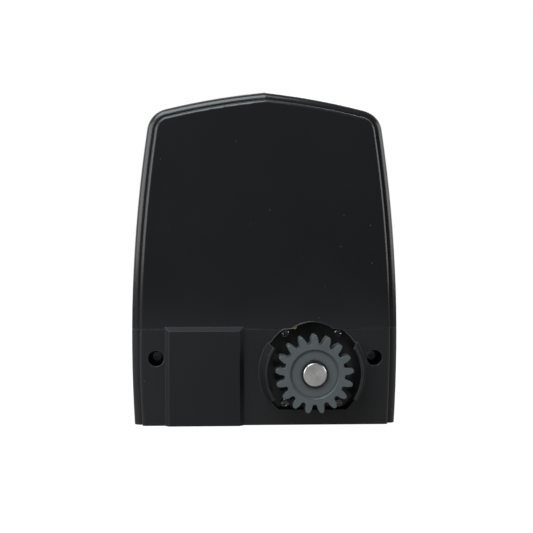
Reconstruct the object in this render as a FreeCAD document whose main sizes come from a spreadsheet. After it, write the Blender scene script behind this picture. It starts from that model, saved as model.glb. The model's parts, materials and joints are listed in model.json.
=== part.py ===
# Sliding gate motor: a rack-and-pinion operator with a worm gearbox, under a two-part moulded casing.
#
# Frame: millimetres, +Z up, origin on the mounting face at the centre of the four anchor bolts.
# +X runs along the gate, -Y points at the gate (the pinion side), +Y at the house (the release lever side).
import FreeCAD, Part
import math
import os
import Sketcher
from FreeCAD import Placement, Rotation, Vector

doc = FreeCAD.newDocument("SlidingGateMotor")
sheet = doc.addObject("Spreadsheet::Sheet", "Dimensions")


def dimensions(*rows):
    # Adds rows to the sheet: an alias, its value in millimetres or degrees, and what it is.
    for alias, amount, note in rows:
        row = dimensions.count = dimensions.count + 1
        sheet.set(f"A{row}", alias)
        sheet.set(f"B{row}", str(amount))
        sheet.setAlias(f"B{row}", alias)
        sheet.set(f"C{row}", note)
    doc.recompute()


dimensions.count = 0

dimensions(
    ("body_width", 265, "widest part of the casing"),
    ("body_height", 330, "mounting face to ridge"),
    ("rear_face", 100, "origin to the flat rear face, towards the gate"),
    ("front_face", 100, "origin to the front face of the tray"),
    ("tray_height", 95, "mounting face to the parting line"),
    ("side_radius", 1400, "bulge of the side walls"),
    ("side_centre", 85, "height of the widest point"),
    ("corner_radius", 24, "upper corners, seen from the rear"),
    ("roof_radius", 690, "each convex half of the roof"),
    ("roof_pitch", 5.7, "slope at the ridge, degrees"),
    ("front_rake", 5, "lean of the cover's front, degrees"),
    ("rear_step", 7, "how far the rear panel stands proud"),
    ("rear_inset", 8.5, "margin round the rear panel"),
    ("rear_round", 7, "rounding of the casing's rear edge"),
    ("panel_round", 3, "rounding of the rear panel's edge"),
    ("front_round", 12, "rounding of the casing's front edge"),
    ("casing_wall", 3, "wall of the tray and the cover"),
    ("floor_wall", 6, "floor of the tray"),
    ("parting_gap", 0.3, "gap between tray and cover"),
    ("fit_gap", 0.3, "clearance between mating parts"),
    ("lip_depth", 6, "cover's locating lip below the parting line"),
    ("lip_wall", 2, "thickness of the lip"),
    # mounting to the foundation plate
    ("anchor_x", 105, "anchor bolts, half their spacing along the gate"),
    ("anchor_y", 72, "anchor bolts, half their spacing across it"),
    ("anchor_bore", 11, "bore of an anchor bush"),
    ("anchor_bush", 16, "outside of an anchor bush"),
    ("anchor_boss", 25, "moulded boss round a bush"),
    ("anchor_height", 22, "length of a bush"),
    # cover screws, deep in wells in the tray's rear face
    ("well_x", 108, "wells, half their spacing"),
    ("well_z", 66.3, "height of the wells"),
    ("well_bore", 15.5, "diameter of a well"),
    ("well_depth", 28, "depth of a well"),
    ("well_wall", 2.6, "wall round a well"),
    ("tab_width", 20, "cover tab that takes the screw"),
    ("tab_wall", 8, "thickness of that tab"),
    ("cover_screw", 5, "thread of the cover screws"),
    ("insert_width", 8, "brass insert in a tab"),
    # output shaft and the round opening for it
    ("shaft_x", 46.5, "output shaft's place along the gate"),
    ("shaft_z", 53, "output shaft above the mounting face"),
    ("opening_radius", 50.5, "round opening in the tray"),
    ("opening_floor", 15, "flat bottom of that opening"),
    ("collar_wall", 2.6, "wall round the opening, back to the gearbox"),
    ("arch_radius", 34.5, "arch in the cover over the pinion"),
    ("arch_rise", 6.9, "height of that arch"),
    ("guard_angle", 66, "arc of one pinion guard, degrees"),
    ("guard_wall", 2.8, "wall of a guard"),
    ("guard_length", 22, "how far a guard stands out"),
    ("guard_taper", 5.5, "how far a guard leans in"),
    # snap-on rear panel over the wiring opening
    ("panel_left", -99.2, "left edge of the panel"),
    ("panel_right", -21.6, "right edge of the panel"),
    ("panel_height", 97.5, "top of the panel"),
    ("panel_depth", 4.8, "how far it stands proud"),
    ("panel_bevel", 4.2, "bevel on its top and sides"),
    ("hatch_margin", 12, "wiring opening, in from the panel's edge"),
    ("hatch_floor", 22, "bottom of the wiring opening"),
    ("hatch_top", 84, "top of the wiring opening"),
    ("hook_wall", 2, "thickness of the panel's snap hooks"),
    ("hook_width", 12, "width of a snap hook"),
    # small casing details
    ("lip_rear", 60, "where the side lips stop, towards the gate"),
    ("lip_front", 82, "where the lips stop at the front corners"),
    ("rib_pitch", 40, "spacing of the hoops under the roof"),
    ("rib_wall", 2.2, "thickness of a hoop"),
    ("rib_depth", 5, "depth of a hoop"),
    ("rib_foot", 262, "height where the hoops start"),
    ("press_gap", 0.05, "radial clearance of pressed and screwed parts"),
    ("thread_gap", 0.05, "radial clearance round a screw's thread"),
    ("cover_screw_head", 9, "head of a cover screw"),
    ("cable_x", -25, "cable entry's place along the gate"),
    ("cable_y", 34, "cable entry's place across it"),
    ("cable_bore", 36, "hole in the floor for the cables"),
    ("cable_hole", 22, "hole left in the grommet"),
    # release lever's pocket in the tray's front wall
    ("pocket_left", -50, "inside of the pocket"),
    ("pocket_right", 64, "inside of the pocket"),
    ("pocket_floor", 32, "inside of the pocket"),
    ("pocket_top", 74, "inside of the pocket"),
    ("pocket_back", 66, "inside of the pocket"),
    ("pocket_wall", 2.5, "walls of the pocket"),
    ("bezel_margin", 4, "how far the pocket's bezel overlaps the tray"),
    ("bezel_wall", 1.5, "thickness of that bezel"),
    ("barb_width", 12, "snap barbs behind the tray's wall"),
    ("barb_depth", 3, "snap barbs behind the tray's wall"),
    ("barb_rise", 1.2, "snap barbs, above the pocket's wall"),
    ("lever_pivot", 86, "lever's hinge, origin to its axis"),
    ("lever_pin", 6, "diameter of the hinge pin"),
    ("lock_x", -30, "lock's place along the gate"),
    ("lock_back", 84, "inner end of the lock"),
    ("tongue_width", 8, "lock tongue"),
    ("tongue_wall", 3, "lock tongue"),
    ("tongue_play", 4.5, "room beside the tongue in its slot, for its swing"),
    ("rod_radius", 4, "clutch rod in the hollow shaft"),
    # where the gearbox meets the casing
    ("flange_face", -88, "gearbox flange's face, towards the gate"),
    ("feet_left", -22, "gearbox feet screws"),
    ("feet_right", 88, "gearbox feet screws"),
    ("feet_rear", -50, "gearbox feet screws"),
    ("feet_front", -14, "gearbox feet screws"),
    ("feet_screw", 8, "gearbox feet screws"),
)


class Size:
    # A number together with the spreadsheet expression that gives it.
    def __init__(self, value, text):
        self.value = float(value)
        self.text = text

    def _with(self, other, sign, value, flipped=False):
        pair = (text_of(other), self.text) if flipped else (self.text, text_of(other))
        return Size(value, f"({pair[0]} {sign} {pair[1]})")

    def __add__(self, other):
        return self._with(other, "+", self.value + number(other))

    def __radd__(self, other):
        return self._with(other, "+", number(other) + self.value, True)

    def __sub__(self, other):
        return self._with(other, "-", self.value - number(other))

    def __rsub__(self, other):
        return self._with(other, "-", number(other) - self.value, True)

    def __mul__(self, other):
        return self._with(other, "*", self.value * number(other))

    def __rmul__(self, other):
        return self._with(other, "*", number(other) * self.value, True)

    def __truediv__(self, other):
        return self._with(other, "/", self.value / number(other))

    def __rtruediv__(self, other):
        return self._with(other, "/", number(other) / self.value, True)

    def __neg__(self):
        return Size(-self.value, f"(-1 * {self.text})")


def number(size):
    return size.value if isinstance(size, Size) else float(size)


def text_of(size):
    return size.text if isinstance(size, Size) else repr(float(size))


def sine(degrees):
    return Size(math.sin(math.radians(number(degrees))), f"sin({text_of(degrees)})")


def cosine(degrees):
    return Size(math.cos(math.radians(number(degrees))), f"cos({text_of(degrees)})")


def tangent(degrees):
    return Size(math.tan(math.radians(number(degrees))), f"tan({text_of(degrees)})")


class Cells:
    # d.body_width reads the cell of that alias.
    def __getattr__(self, alias):
        return Size(sheet.get(alias), f"Dimensions.{alias}")


d = Cells()


def bind(target, prop, size):
    if isinstance(size, Size):
        target.setExpression(prop, size.text)


class Drawing:
    # A sketch being drawn: geometry and its constraints, each bound to the spreadsheet.
    def __init__(self, sketch):
        self.sketch = sketch

    def add(self, geometry):
        return self.sketch.addGeometry(geometry, False)

    def rule(self, kind, *refs, size=None):
        parts = refs if size is None else (*refs, number(size))
        index = self.sketch.addConstraint(Sketcher.Constraint(kind, *parts))
        if size is not None:
            bind(self.sketch, f"Constraints[{index}]", size)

    def fix(self, geometry, position, x, y):
        self.rule("DistanceX", -1, 1, geometry, position, size=x)
        self.rule("DistanceY", -1, 1, geometry, position, size=y)

    def arc(self, start, through, end, radius):
        # An arc by three points; returns it with the numbers of its ends in the order given.
        spots = [Vector(number(x), number(y), 0) for x, y in (start, through, end)]
        ring = circle_through(*spots)
        turn = (spots[1] - spots[0]).cross(spots[2] - spots[1]).z
        first, last = (spots[0], spots[2]) if turn > 0 else (spots[2], spots[0])
        angles = [math.atan2(p.y - ring.Center.y, p.x - ring.Center.x) for p in (first, last)]
        index = self.add(Part.ArcOfCircle(ring, *angles))
        self.rule("Radius", index, size=radius)
        return (index, 1, 2) if turn > 0 else (index, 2, 1)

    def polygon(self, points):
        count = len(points)
        at = [Vector(number(x), number(y), 0) for x, y in points]
        lines = [self.add(Part.LineSegment(at[i], at[(i + 1) % count])) for i in range(count)]
        for i in range(count):
            self.rule("Coincident", lines[i], 2, lines[(i + 1) % count], 1)
        for line, (x, y) in zip(lines, points):
            self.fix(line, 1, x, y)

    def rectangle(self, x0, x1, y0, y1):
        self.polygon([(x0, y0), (x1, y0), (x1, y1), (x0, y1)])

    def circle(self, x, y, radius):
        centre = Vector(number(x), number(y), 0)
        ring = self.add(Part.Circle(centre, Vector(0, 0, 1), number(radius)))
        self.fix(ring, 3, x, y)
        self.rule("Radius", ring, size=radius)


def circle_through(a, b, c):
    # The circle through three points, counted anticlockwise.
    d1, d2 = b - a, c - a
    cross = 2 * (d1.x * d2.y - d1.y * d2.x)
    x = (d2.y * d1.dot(d1) - d1.y * d2.dot(d2)) / cross
    y = (d1.x * d2.dot(d2) - d2.x * d1.dot(d1)) / cross
    centre = Vector(a.x + x, a.y + y, 0)
    return Part.Circle(centre, Vector(0, 0, 1), (centre - a).Length)


def new_body(label):
    body = doc.addObject("PartDesign::Body", label)
    body.Label = label
    return body


def draw_on(body, role, offset):
    # A sketch parallel to one of the body's own planes, moved along that plane's normal.
    sketch = body.newObject("Sketcher::SketchObject", "Sketch")
    plane = next(p for p in body.Origin.OriginFeatures if p.Role == role)
    sketch.AttachmentSupport = [(plane, "")]
    sketch.MapMode = "FlatFace"
    sketch.AttachmentOffset = Placement(Vector(0, 0, number(offset)), Rotation())
    bind(sketch, "AttachmentOffset.Base.z", offset)
    return Drawing(sketch)


def prism(body, role, low, high, draw, cut=False):
    # Adds or cuts a straight prism from low to high along X, Y or Z.
    along_y = role == "XZ_Plane"
    drawing = draw_on(body, role, -low if along_y else low)
    draw(drawing)
    feature = body.newObject("PartDesign::Pocket" if cut else "PartDesign::Pad", "Cut" if cut else "Pad")
    feature.Profile = drawing.sketch
    feature.Length = number(high - low)
    bind(feature, "Length", high - low)
    feature.Reversed = along_y != cut
    drawing.sketch.Visibility = False
    doc.recompute()
    return feature


def along_x(body, low, high, draw, cut=False):
    return prism(body, "YZ_Plane", low, high, draw, cut)


def along_y(body, low, high, draw, cut=False):
    return prism(body, "XZ_Plane", low, high, draw, cut)


def along_z(body, low, high, draw, cut=False):
    return prism(body, "XY_Plane", low, high, draw, cut)


def revolve(body, role, axis, angle, draw, cut=False):
    # Turns a drawing about one of the body's own axes.
    drawing = draw_on(body, role, 0)
    draw(drawing)
    kind = "PartDesign::Groove" if cut else "PartDesign::Revolution"
    feature = body.newObject(kind, "Groove" if cut else "Revolution")
    feature.Profile = drawing.sketch
    feature.ReferenceAxis = (next(a for a in body.Origin.OriginFeatures if a.Role == axis), [""])
    feature.Midplane = True
    feature.Angle = number(angle)
    bind(feature, "Angle", angle)
    drawing.sketch.Visibility = False
    doc.recompute()
    return feature


def dress(body, kind, size, chosen):
    # Fillets or chamfers the edges of the body for which chosen(edge) is true.
    base = body.Tip
    names = [f"Edge{i}" for i, edge in enumerate(base.Shape.Edges, 1) if chosen(edge)]
    feature = body.newObject(f"PartDesign::{kind}", kind)
    feature.Base = (base, names)
    prop = "Radius" if kind == "Fillet" else "Size"
    setattr(feature, prop, number(size))
    bind(feature, prop, size)
    doc.recompute()
    return feature


def middle(edge):
    return edge.valueAt((edge.FirstParameter + edge.LastParameter) / 2)


def is_straight(edge):
    return isinstance(edge.Curve, Part.Line)


def move_to(item, x=0, y=0, z=0):
    item.Placement = Placement(Vector(number(x), number(y), number(z)), item.Placement.Rotation)
    for letter, size in zip("xyz", (x, y, z)):
        bind(item, f"Placement.Base.{letter}", size)
    return item


TURN = {
    "X": Rotation(Vector(0, 1, 0), 90),
    "Y": Rotation(Vector(1, 0, 0), -90),
    "Z": Rotation(),
}


def cylinder(axis, first, second, radius, low, high):
    # A plain cylinder along an axis; first and second are its place on the other two axes, in order.
    item = doc.addObject("Part::Cylinder", "Cylinder")
    item.Radius = number(radius)
    item.Height = number(high - low)
    bind(item, "Radius", radius)
    bind(item, "Height", high - low)
    item.Placement = Placement(Vector(), TURN[axis])
    spot = {"X": (low, first, second), "Y": (first, low, second), "Z": (first, second, low)}[axis]
    return move_to(item, *spot)


def block(x0, x1, y0, y1, z0, z1):
    item = doc.addObject("Part::Box", "Block")
    for prop, size in zip(("Length", "Width", "Height"), (x1 - x0, y1 - y0, z1 - z0)):
        setattr(item, prop, number(size))
        bind(item, prop, size)
    return move_to(item, x0, y0, z0)


def merged(parts):
    if len(parts) == 1:
        return parts[0]
    item = doc.addObject("Part::MultiFuse", "Union")
    item.Shapes = list(parts)
    return item


def union(*parts):
    return merged(parts)


def less(base, *tools):
    item = doc.addObject("Part::Cut", "Difference")
    item.Base = base
    item.Tool = merged(tools)
    return item


def together(*parts):
    # Separate solids kept as one named group.
    item = doc.addObject("Part::Compound", "Group")
    item.Links = list(parts)
    return item


nodes = []


def finish(item, label):
    item.Label = label
    nodes.append(item)
    return item


# ---------------------------------------------------------------- casing outline


def arch_circles(inset):
    # Centre and radius of the right side, the upper corner and the right half of the roof, set in by inset.
    side = (d.body_width / 2 - d.side_radius, d.side_centre, d.side_radius - inset)
    lean = sine(d.roof_pitch)
    rise = cosine(d.roof_pitch)
    roof = (-1 * d.roof_radius * lean, d.body_height - d.roof_radius * rise, d.roof_radius - inset)
    a, b = (Vector(number(c[0]), number(c[1]), 0) for c in (side, roof))
    reach_a, reach_b = (number(c[2]) - number(d.corner_radius) + number(inset) for c in (side, roof))
    apart = (b - a).Length
    along = (reach_a ** 2 - reach_b ** 2 + apart ** 2) / (2 * apart)
    way = (b - a) / apart
    corner = a + way * along + Vector(-way.y, way.x, 0) * math.sqrt(reach_a ** 2 - along ** 2)
    if corner.x < 0:
        corner = a + way * along - Vector(-way.y, way.x, 0) * math.sqrt(reach_a ** 2 - along ** 2)
    return side, (corner.x, corner.y, d.corner_radius - inset), roof


def touching(circle, other):
    # Where a circle touches a smaller one inside it.
    a, b = (Vector(number(c[0]), number(c[1]), 0) for c in (circle, other))
    return b + (b - a).normalize() * number(other[2])


def reach(circle, z):
    centre_x, centre_z, radius = map(number, circle)
    return Vector(centre_x + math.sqrt(radius ** 2 - (number(z) - centre_z) ** 2), number(z), 0)


def arch(drawing, inset, low, high=None):
    # The casing seen from the rear, set in by inset, from height low to its ridge or to a flat top.
    side, corner, roof = arch_circles(inset)
    ridge = Vector(0, number(roof[1]) + math.sqrt(number(roof[2]) ** 2 - number(roof[0]) ** 2), 0)
    eave, shoulder = touching(roof, corner), touching(side, corner)
    stops = [(side, reach(side, low), shoulder), (corner, shoulder, eave), (roof, eave, ridge)]
    if high is not None:
        stops = [(side, reach(side, low), reach(side, high))]
    chains = []
    for hand in (1, -1):
        chain = []
        for (x, z, radius), start, end in stops:
            centre = Vector(hand * number(x), number(z), 0)
            ends = [start, end][::hand]
            angles = [math.atan2(p.y - centre.y, hand * p.x - centre.x) for p in ends]
            ring = Part.Circle(centre, Vector(0, 0, 1), number(radius))
            chain.append(drawing.add(Part.ArcOfCircle(ring, *angles)))
            drawing.rule("Radius", chain[-1], size=radius)
        near, far = (1, 2)[::hand]
        for (circle, _, _), curve in zip(stops, chain):
            if circle is not corner:
                drawing.fix(curve, 3, hand * circle[0], circle[1])
        for first, second in zip(chain, chain[1:]):
            drawing.rule("Tangent", first, far, second, near)
        drawing.rule("DistanceY", -1, 1, chain[0], near, size=low)
        if high is not None:
            drawing.rule("DistanceY", -1, 1, chain[0], far, size=high)
        chains.append(((chain[0], near), (chain[-1], far), reach(side, low), stops[-1][2]))
    (foot, top, foot_at, top_at), (far_foot, far_top, _, _) = chains
    mirror = lambda p: Vector(-p.x, p.y, 0)
    sill = drawing.add(Part.LineSegment(mirror(foot_at), foot_at))
    drawing.rule("Coincident", sill, 1, *far_foot)
    drawing.rule("Coincident", sill, 2, *foot)
    if high is None:
        drawing.rule("Coincident", *top, *far_top)
    else:
        lid = drawing.add(Part.LineSegment(top_at, mirror(top_at)))
        drawing.rule("Coincident", lid, 1, *top)
        drawing.rule("Coincident", lid, 2, *far_top)


# ---------------------------------------------------------------- casing


def casing_block(label, low, high=None):
    # The outside of the tray or the cover: a rounded block with the raised panel of the rear face.
    body = new_body(label)
    ledge = -d.rear_face + d.rear_step
    along_y(body, ledge, d.front_face, lambda s: arch(s, 0, low, high))
    if high is None:
        lean_back(body, d.front_face)
    dress(body, "Fillet", d.rear_round,
          lambda e: abs(middle(e).y - number(ledge)) < 1e-4 and not is_straight(e))
    dress(body, "Fillet", d.front_round, lambda e: middle(e).y > 0 and not is_straight(e)
          and on_front(middle(e)))
    along_y(body, -1 * d.rear_face, ledge, lambda s: arch(s, d.rear_inset, low, high))
    dress(body, "Fillet", d.panel_round,
          lambda e: abs(middle(e).y + number(d.rear_face)) < 1e-4 and not is_straight(e))
    return body


def on_front(point):
    lean = max(point.z - number(d.tray_height), 0) * number(tangent(d.front_rake))
    return abs(number(d.front_face) - lean - point.y) < 1e-3


def casing_hollow(low, high=None):
    # What is hollowed out of that block; it steps in under the rounded front edge, so the wall stays even.
    body = new_body("Hollow")
    step = -d.rear_face + d.rear_step + d.casing_wall
    for inset, depth in ((d.casing_wall, d.front_round), (d.casing_wall + d.front_round / 2, d.casing_wall)):
        face = d.front_face - depth
        along_y(body, step, face, lambda s: arch(s, inset, low, high))
        if high is None:
            lean_back(body, face)
    along_y(body, -d.rear_face + d.casing_wall, step,
            lambda s: arch(s, d.rear_inset + d.casing_wall, low, high))
    return body


def lean_back(body, face):
    # Cuts the house side of a cover block to its slope, which starts at the parting line.
    top = d.body_height + 10
    lean = (top - d.tray_height) * tangent(d.front_rake)
    along_x(body, -1 * d.body_width, d.body_width, lambda s: s.polygon(
        [(face, d.tray_height), (face + 10, d.tray_height), (face + 10, top), (face - lean, top)]), cut=True)


def base_tray():
    wall = d.casing_wall
    shell = less(casing_block("TrayBlock", 0, d.tray_height), casing_hollow(d.floor_wall, d.tray_height + 1))
    inner_rear = -d.rear_face + wall
    bosses, holes = [], []
    for x in (-d.anchor_x, d.anchor_x):
        for y in (-d.anchor_y, d.anchor_y):
            bosses.append(cylinder("Z", x, y, d.anchor_boss / 2, 0, d.anchor_height - 1))
            holes.append(cylinder("Z", x, y, d.anchor_bush / 2 + d.press_gap, -1, d.anchor_height))
    for x in (-d.well_x, d.well_x):
        end = -d.rear_face + d.well_depth
        radius = d.well_bore / 2
        bosses.append(cylinder("Y", x, d.well_z, radius + d.well_wall, inner_rear - 1, end + d.well_wall))
        holes.append(cylinder("Y", x, d.well_z, radius, -d.rear_face - 1, end))
        holes.append(cylinder("Y", x, d.well_z, d.cover_screw / 2 + d.fit_gap, end - 1, end + 2 * d.well_wall))
    bosses += [gearbox_collar(), *pinion_guards()]
    holes.append(rear_opening(d.opening_radius, d.opening_floor, -d.rear_face - 1, d.flange_face + 1))
    holes.append(block(d.panel_left + d.hatch_margin, d.panel_right - d.hatch_margin,
                       -d.rear_face - 1, inner_rear + 1, d.hatch_floor, d.hatch_top))
    holes += [pocket_outside(d.front_face - 2 * wall, d.front_face + 1, d.fit_gap), *floor_holes()]
    trimmed = less(union(shell, *bosses), block(-1 * d.body_width, d.body_width, -2 * d.rear_face,
                                               2 * d.front_face, d.tray_height, d.tray_height + 60))
    return finish(less(trimmed, *holes), "base_tray")


def rear_opening(radius, floor, low, high):
    # A disc along the output shaft's axis with its bottom cut flat, for the round opening and its collar.
    disc = cylinder("Y", d.shaft_x, d.shaft_z, radius, low, high)
    return less(disc, block(d.shaft_x - 2 * radius, d.shaft_x + 2 * radius, low - 1, high + 1,
                            floor - 2 * radius, floor))


def gearbox_collar():
    # The moulded wall that runs back from the opening to the gearbox flange.
    wall = d.collar_wall
    end = d.flange_face - d.fit_gap
    return rear_opening(d.opening_radius + wall, d.opening_floor - wall, -d.rear_face + 1, end)


def pinion_guards():
    # Two curved cheeks that keep fingers off the pinion, one on each side of it.
    guards = []
    for turn in (0, 180):
        body = new_body("Guard")
        inner, outer = d.opening_radius, d.opening_radius + d.guard_wall
        root, tip = -d.rear_face + 1, -d.rear_face - d.guard_length
        revolve(body, "XY_Plane", "Y_Axis", d.guard_angle, lambda s: s.polygon(
            [(inner, root), (outer, root), (outer - d.guard_taper, tip), (inner - d.guard_taper, tip)]))
        dress(body, "Fillet", d.guard_wall / 3, lambda e: abs(middle(e).y - number(tip)) < 1e-4)
        body.Placement = Placement(Vector(), Rotation(Vector(0, 1, 0), turn))
        guards.append(move_to(body, d.shaft_x, 0, d.shaft_z))
    return guards


def pocket_outside(low, high, spare=0):
    wall = d.pocket_wall + spare
    return block(d.pocket_left - wall, d.pocket_right + wall, low, high, d.pocket_floor - wall,
                 d.pocket_top + wall)


def release_housing():
    # The pocket that holds the release lever: pressed into a window of the tray from outside, it stops at its
    # bezel and four barbs snap behind the wall.
    wall, face = d.pocket_wall, d.front_face
    bezel = pocket_outside(face, face + d.bezel_wall, d.bezel_margin)
    cup = pocket_outside(d.pocket_back - wall, face + 1)
    inside = face - d.casing_wall - d.press_gap
    barbs = []
    for x in (d.pocket_left + d.barb_width, d.pocket_right - 2 * d.barb_width):
        for z0, z1 in ((d.pocket_floor - wall - d.barb_rise, d.pocket_floor - 1),
                       (d.pocket_top + 1, d.pocket_top + wall + d.barb_rise)):
            barbs.append(block(x, x + d.barb_width, inside - d.barb_depth, inside, z0, z1))
    pin = d.lever_pin / 2 + d.press_gap
    slot = d.tongue_width / 2 + d.tongue_play
    slot_low = d.lock_back - 1
    holes = [
        block(d.pocket_left, d.pocket_right, d.pocket_back, face + 2 * d.bezel_wall, d.pocket_floor, d.pocket_top),
        cylinder("Y", d.shaft_x, d.shaft_z, d.rod_radius + 1, d.pocket_back - wall - 1, d.pocket_back + 1),
        cylinder("Z", d.shaft_x, d.lever_pivot, pin, d.pocket_floor - wall + 0.5, d.pocket_top + wall + 1),
        block(d.lock_x - slot, d.lock_x + slot, slot_low, slot_low + d.tongue_wall + 2,
              d.pocket_top - 1, d.pocket_top + wall + 1),
    ]
    return finish(less(union(bezel, cup, *barbs), *holes), "release_housing")


def floor_holes():
    holes = [cylinder("Z", d.cable_x, d.cable_y, d.cable_bore / 2, -1, d.floor_wall + 1)]
    for x, y in gearbox_feet():
        holes.append(cylinder("Z", x, y, d.feet_screw / 2 + d.press_gap, -1, d.floor_wall + 1))
    return holes


def gearbox_feet():
    return [(x, y) for x in (d.feet_left, d.feet_right) for y in (d.feet_rear, d.feet_front)]


def top_cover():
    low = d.tray_height + d.parting_gap
    wall = d.casing_wall
    shell = less(casing_block("CoverBlock", low), casing_hollow(d.tray_height - 1))
    parts = [*cover_lip(low), *cover_tabs(low), *cover_ribs()]
    arch_drop = d.arch_radius - d.arch_rise
    notch = cylinder("Y", d.shaft_x, d.tray_height - arch_drop, d.arch_radius, -d.rear_face - 1,
                     -d.rear_face + 2 * wall + d.rear_step)
    holes = [notch]
    for x in (-d.well_x, d.well_x):
        start = tab_face()
        holes.append(cylinder("Y", x, d.well_z, d.insert_width / 2 + d.press_gap, start - 1,
                              start + d.tab_wall + 1))
    return finish(less(union(shell, *parts), *holes), "top_cover")


def tab_face():
    return -d.rear_face + d.well_depth + d.well_wall + d.fit_gap


def cover_lip(low):
    # A rim inside the parting line that locates the cover in the tray: left, right and front.
    outer = d.body_width / 2 - d.casing_wall - d.fit_gap
    inner = outer - d.lip_wall
    front = d.front_face - d.casing_wall - d.fit_gap
    foot = d.tray_height - d.lip_depth
    root = low + d.lip_depth
    strips = []
    for hand in (-1, 1):
        x = sorted((hand * outer, hand * inner), key=number)
        strips.append(block(x[0], x[1], -d.lip_rear, d.lip_front, foot, root))
        x = sorted((hand * (outer + 1), hand * inner), key=number)
        strips.append(block(x[0], x[1], -d.lip_rear, d.lip_front, low, root))
    strips.append(block(-d.lip_front, d.lip_front, front - d.lip_wall, front, foot, root))
    strips.append(block(-d.lip_front, d.lip_front, front - d.lip_wall, front + 0.2, low, root))
    return strips


def cover_tabs(low):
    # Two tongues that reach down behind the wells and take the cover screws.
    tabs = []
    for hand in (-1, 1):
        body = new_body("Tab")
        near, far = d.well_x - d.tab_width / 2, d.well_x + d.tab_width / 2
        wall = d.body_width / 2 - d.casing_wall + 1
        heel = d.well_z - d.tab_width / 2
        along_y(body, tab_face(), tab_face() + d.tab_wall, lambda s: s.polygon(
            [(hand * x, z) for x, z in ((near, heel), (far, heel), (far, low), (wall, low + d.lip_depth),
                                        (wall, low + d.tab_width * 3), (near, low + d.tab_width))][::hand]))
        tabs.append(body)
    return tabs


def cover_ribs():
    # Stiffening hoops under the roof.
    ribs = []
    for y in (-d.rib_pitch, 0 * d.rib_pitch, d.rib_pitch):
        body = new_body("Rib")
        wall = d.casing_wall
        along_y(body, y - d.rib_wall / 2, y + d.rib_wall / 2, lambda s: arch(s, wall - 0.5, d.rib_foot))
        bottom = new_body("RibBottom")
        along_y(bottom, y - d.rib_wall, y + d.rib_wall,
                lambda s: arch(s, wall + d.rib_depth, d.rib_foot - 1))
        ribs.append(less(body, bottom))
    return ribs


def rear_access_panel():
    body = new_body("AccessPanelPlate")
    rear, front = -d.rear_face - d.panel_depth, -d.rear_face - d.fit_gap
    along_y(body, rear, front,
            lambda s: s.rectangle(d.panel_left, d.panel_right, 0, d.panel_height))
    dress(body, "Chamfer", d.panel_bevel,
          lambda e: abs(middle(e).y - number(rear)) < 1e-4 and middle(e).z > 1)
    hooks = []
    for x in (d.panel_left + d.hatch_margin + d.fit_gap, d.panel_right - d.hatch_margin - d.fit_gap):
        toward = 1 if number(x) < number(d.panel_left + d.panel_right) / 2 else -1
        x0, x1 = sorted((x, x + toward * d.hook_wall), key=number)
        for z in (d.hatch_floor + d.hook_width, d.hatch_top - 2 * d.hook_width):
            back = -d.rear_face + d.casing_wall + d.fit_gap
            hooks.append(block(x0, x1, front - 1, back + d.hook_wall, z, z + d.hook_width))
            tip0, tip1 = sorted((x - toward * d.hook_wall, x + toward * d.hook_wall), key=number)
            hooks.append(block(tip0, tip1, back, back + d.hook_wall, z, z + d.hook_width))
    return finish(union(body, *hooks), "rear_access_panel")


def casing_fasteners():
    screws, inserts, bushes = [], [], []
    for x in (-d.well_x, d.well_x):
        floor = -d.rear_face + d.well_depth
        head = cylinder("Y", x, d.well_z, d.cover_screw_head / 2, floor - d.cover_screw, floor - 0.05)
        slot_low = floor - d.cover_screw - 1
        slot = block(x - d.cover_screw_head / 2, x + d.cover_screw_head / 2, slot_low, slot_low + 2.5,
                     d.well_z - 0.6, d.well_z + 0.6)
        cross = block(x - 0.6, x + 0.6, slot_low, slot_low + 2.5,
                      d.well_z - d.cover_screw_head / 3, d.well_z + d.cover_screw_head / 3)
        shank = cylinder("Y", x, d.well_z, d.cover_screw / 2, floor - 1, tab_face() + d.tab_wall + 4)
        screws.append(less(union(head, shank), slot, cross))
        ring = cylinder("Y", x, d.well_z, d.insert_width / 2, tab_face() + 0.5, tab_face() + d.tab_wall - 0.5)
        inserts.append(less(ring, cylinder("Y", x, d.well_z, d.cover_screw / 2 + d.thread_gap,
                                           tab_face(), tab_face() + d.tab_wall)))
    for x in (-d.anchor_x, d.anchor_x):
        for y in (-d.anchor_y, d.anchor_y):
            ring = cylinder("Z", x, y, d.anchor_bush / 2, 0, d.anchor_height)
            bushes.append(less(ring, cylinder("Z", x, y, d.anchor_bore / 2, -1, d.anchor_height + 1)))
    finish(together(*screws), "cover_screws")
    finish(together(*inserts), "screw_inserts")
    finish(together(*bushes), "anchor_bushes")
    ring = cylinder("Z", d.cable_x, d.cable_y, d.cable_bore / 2 + 3, d.floor_wall + 0.05, d.floor_wall + 5)
    neck = cylinder("Z", d.cable_x, d.cable_y, d.cable_bore / 2 - d.fit_gap, 0.5, d.floor_wall + 2)
    hole = cylinder("Z", d.cable_x, d.cable_y, d.cable_hole / 2, 0, d.floor_wall + 6)
    finish(less(union(ring, neck), hole), "cable_grommet")


# ---------------------------------------------------------------- gearbox

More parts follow.
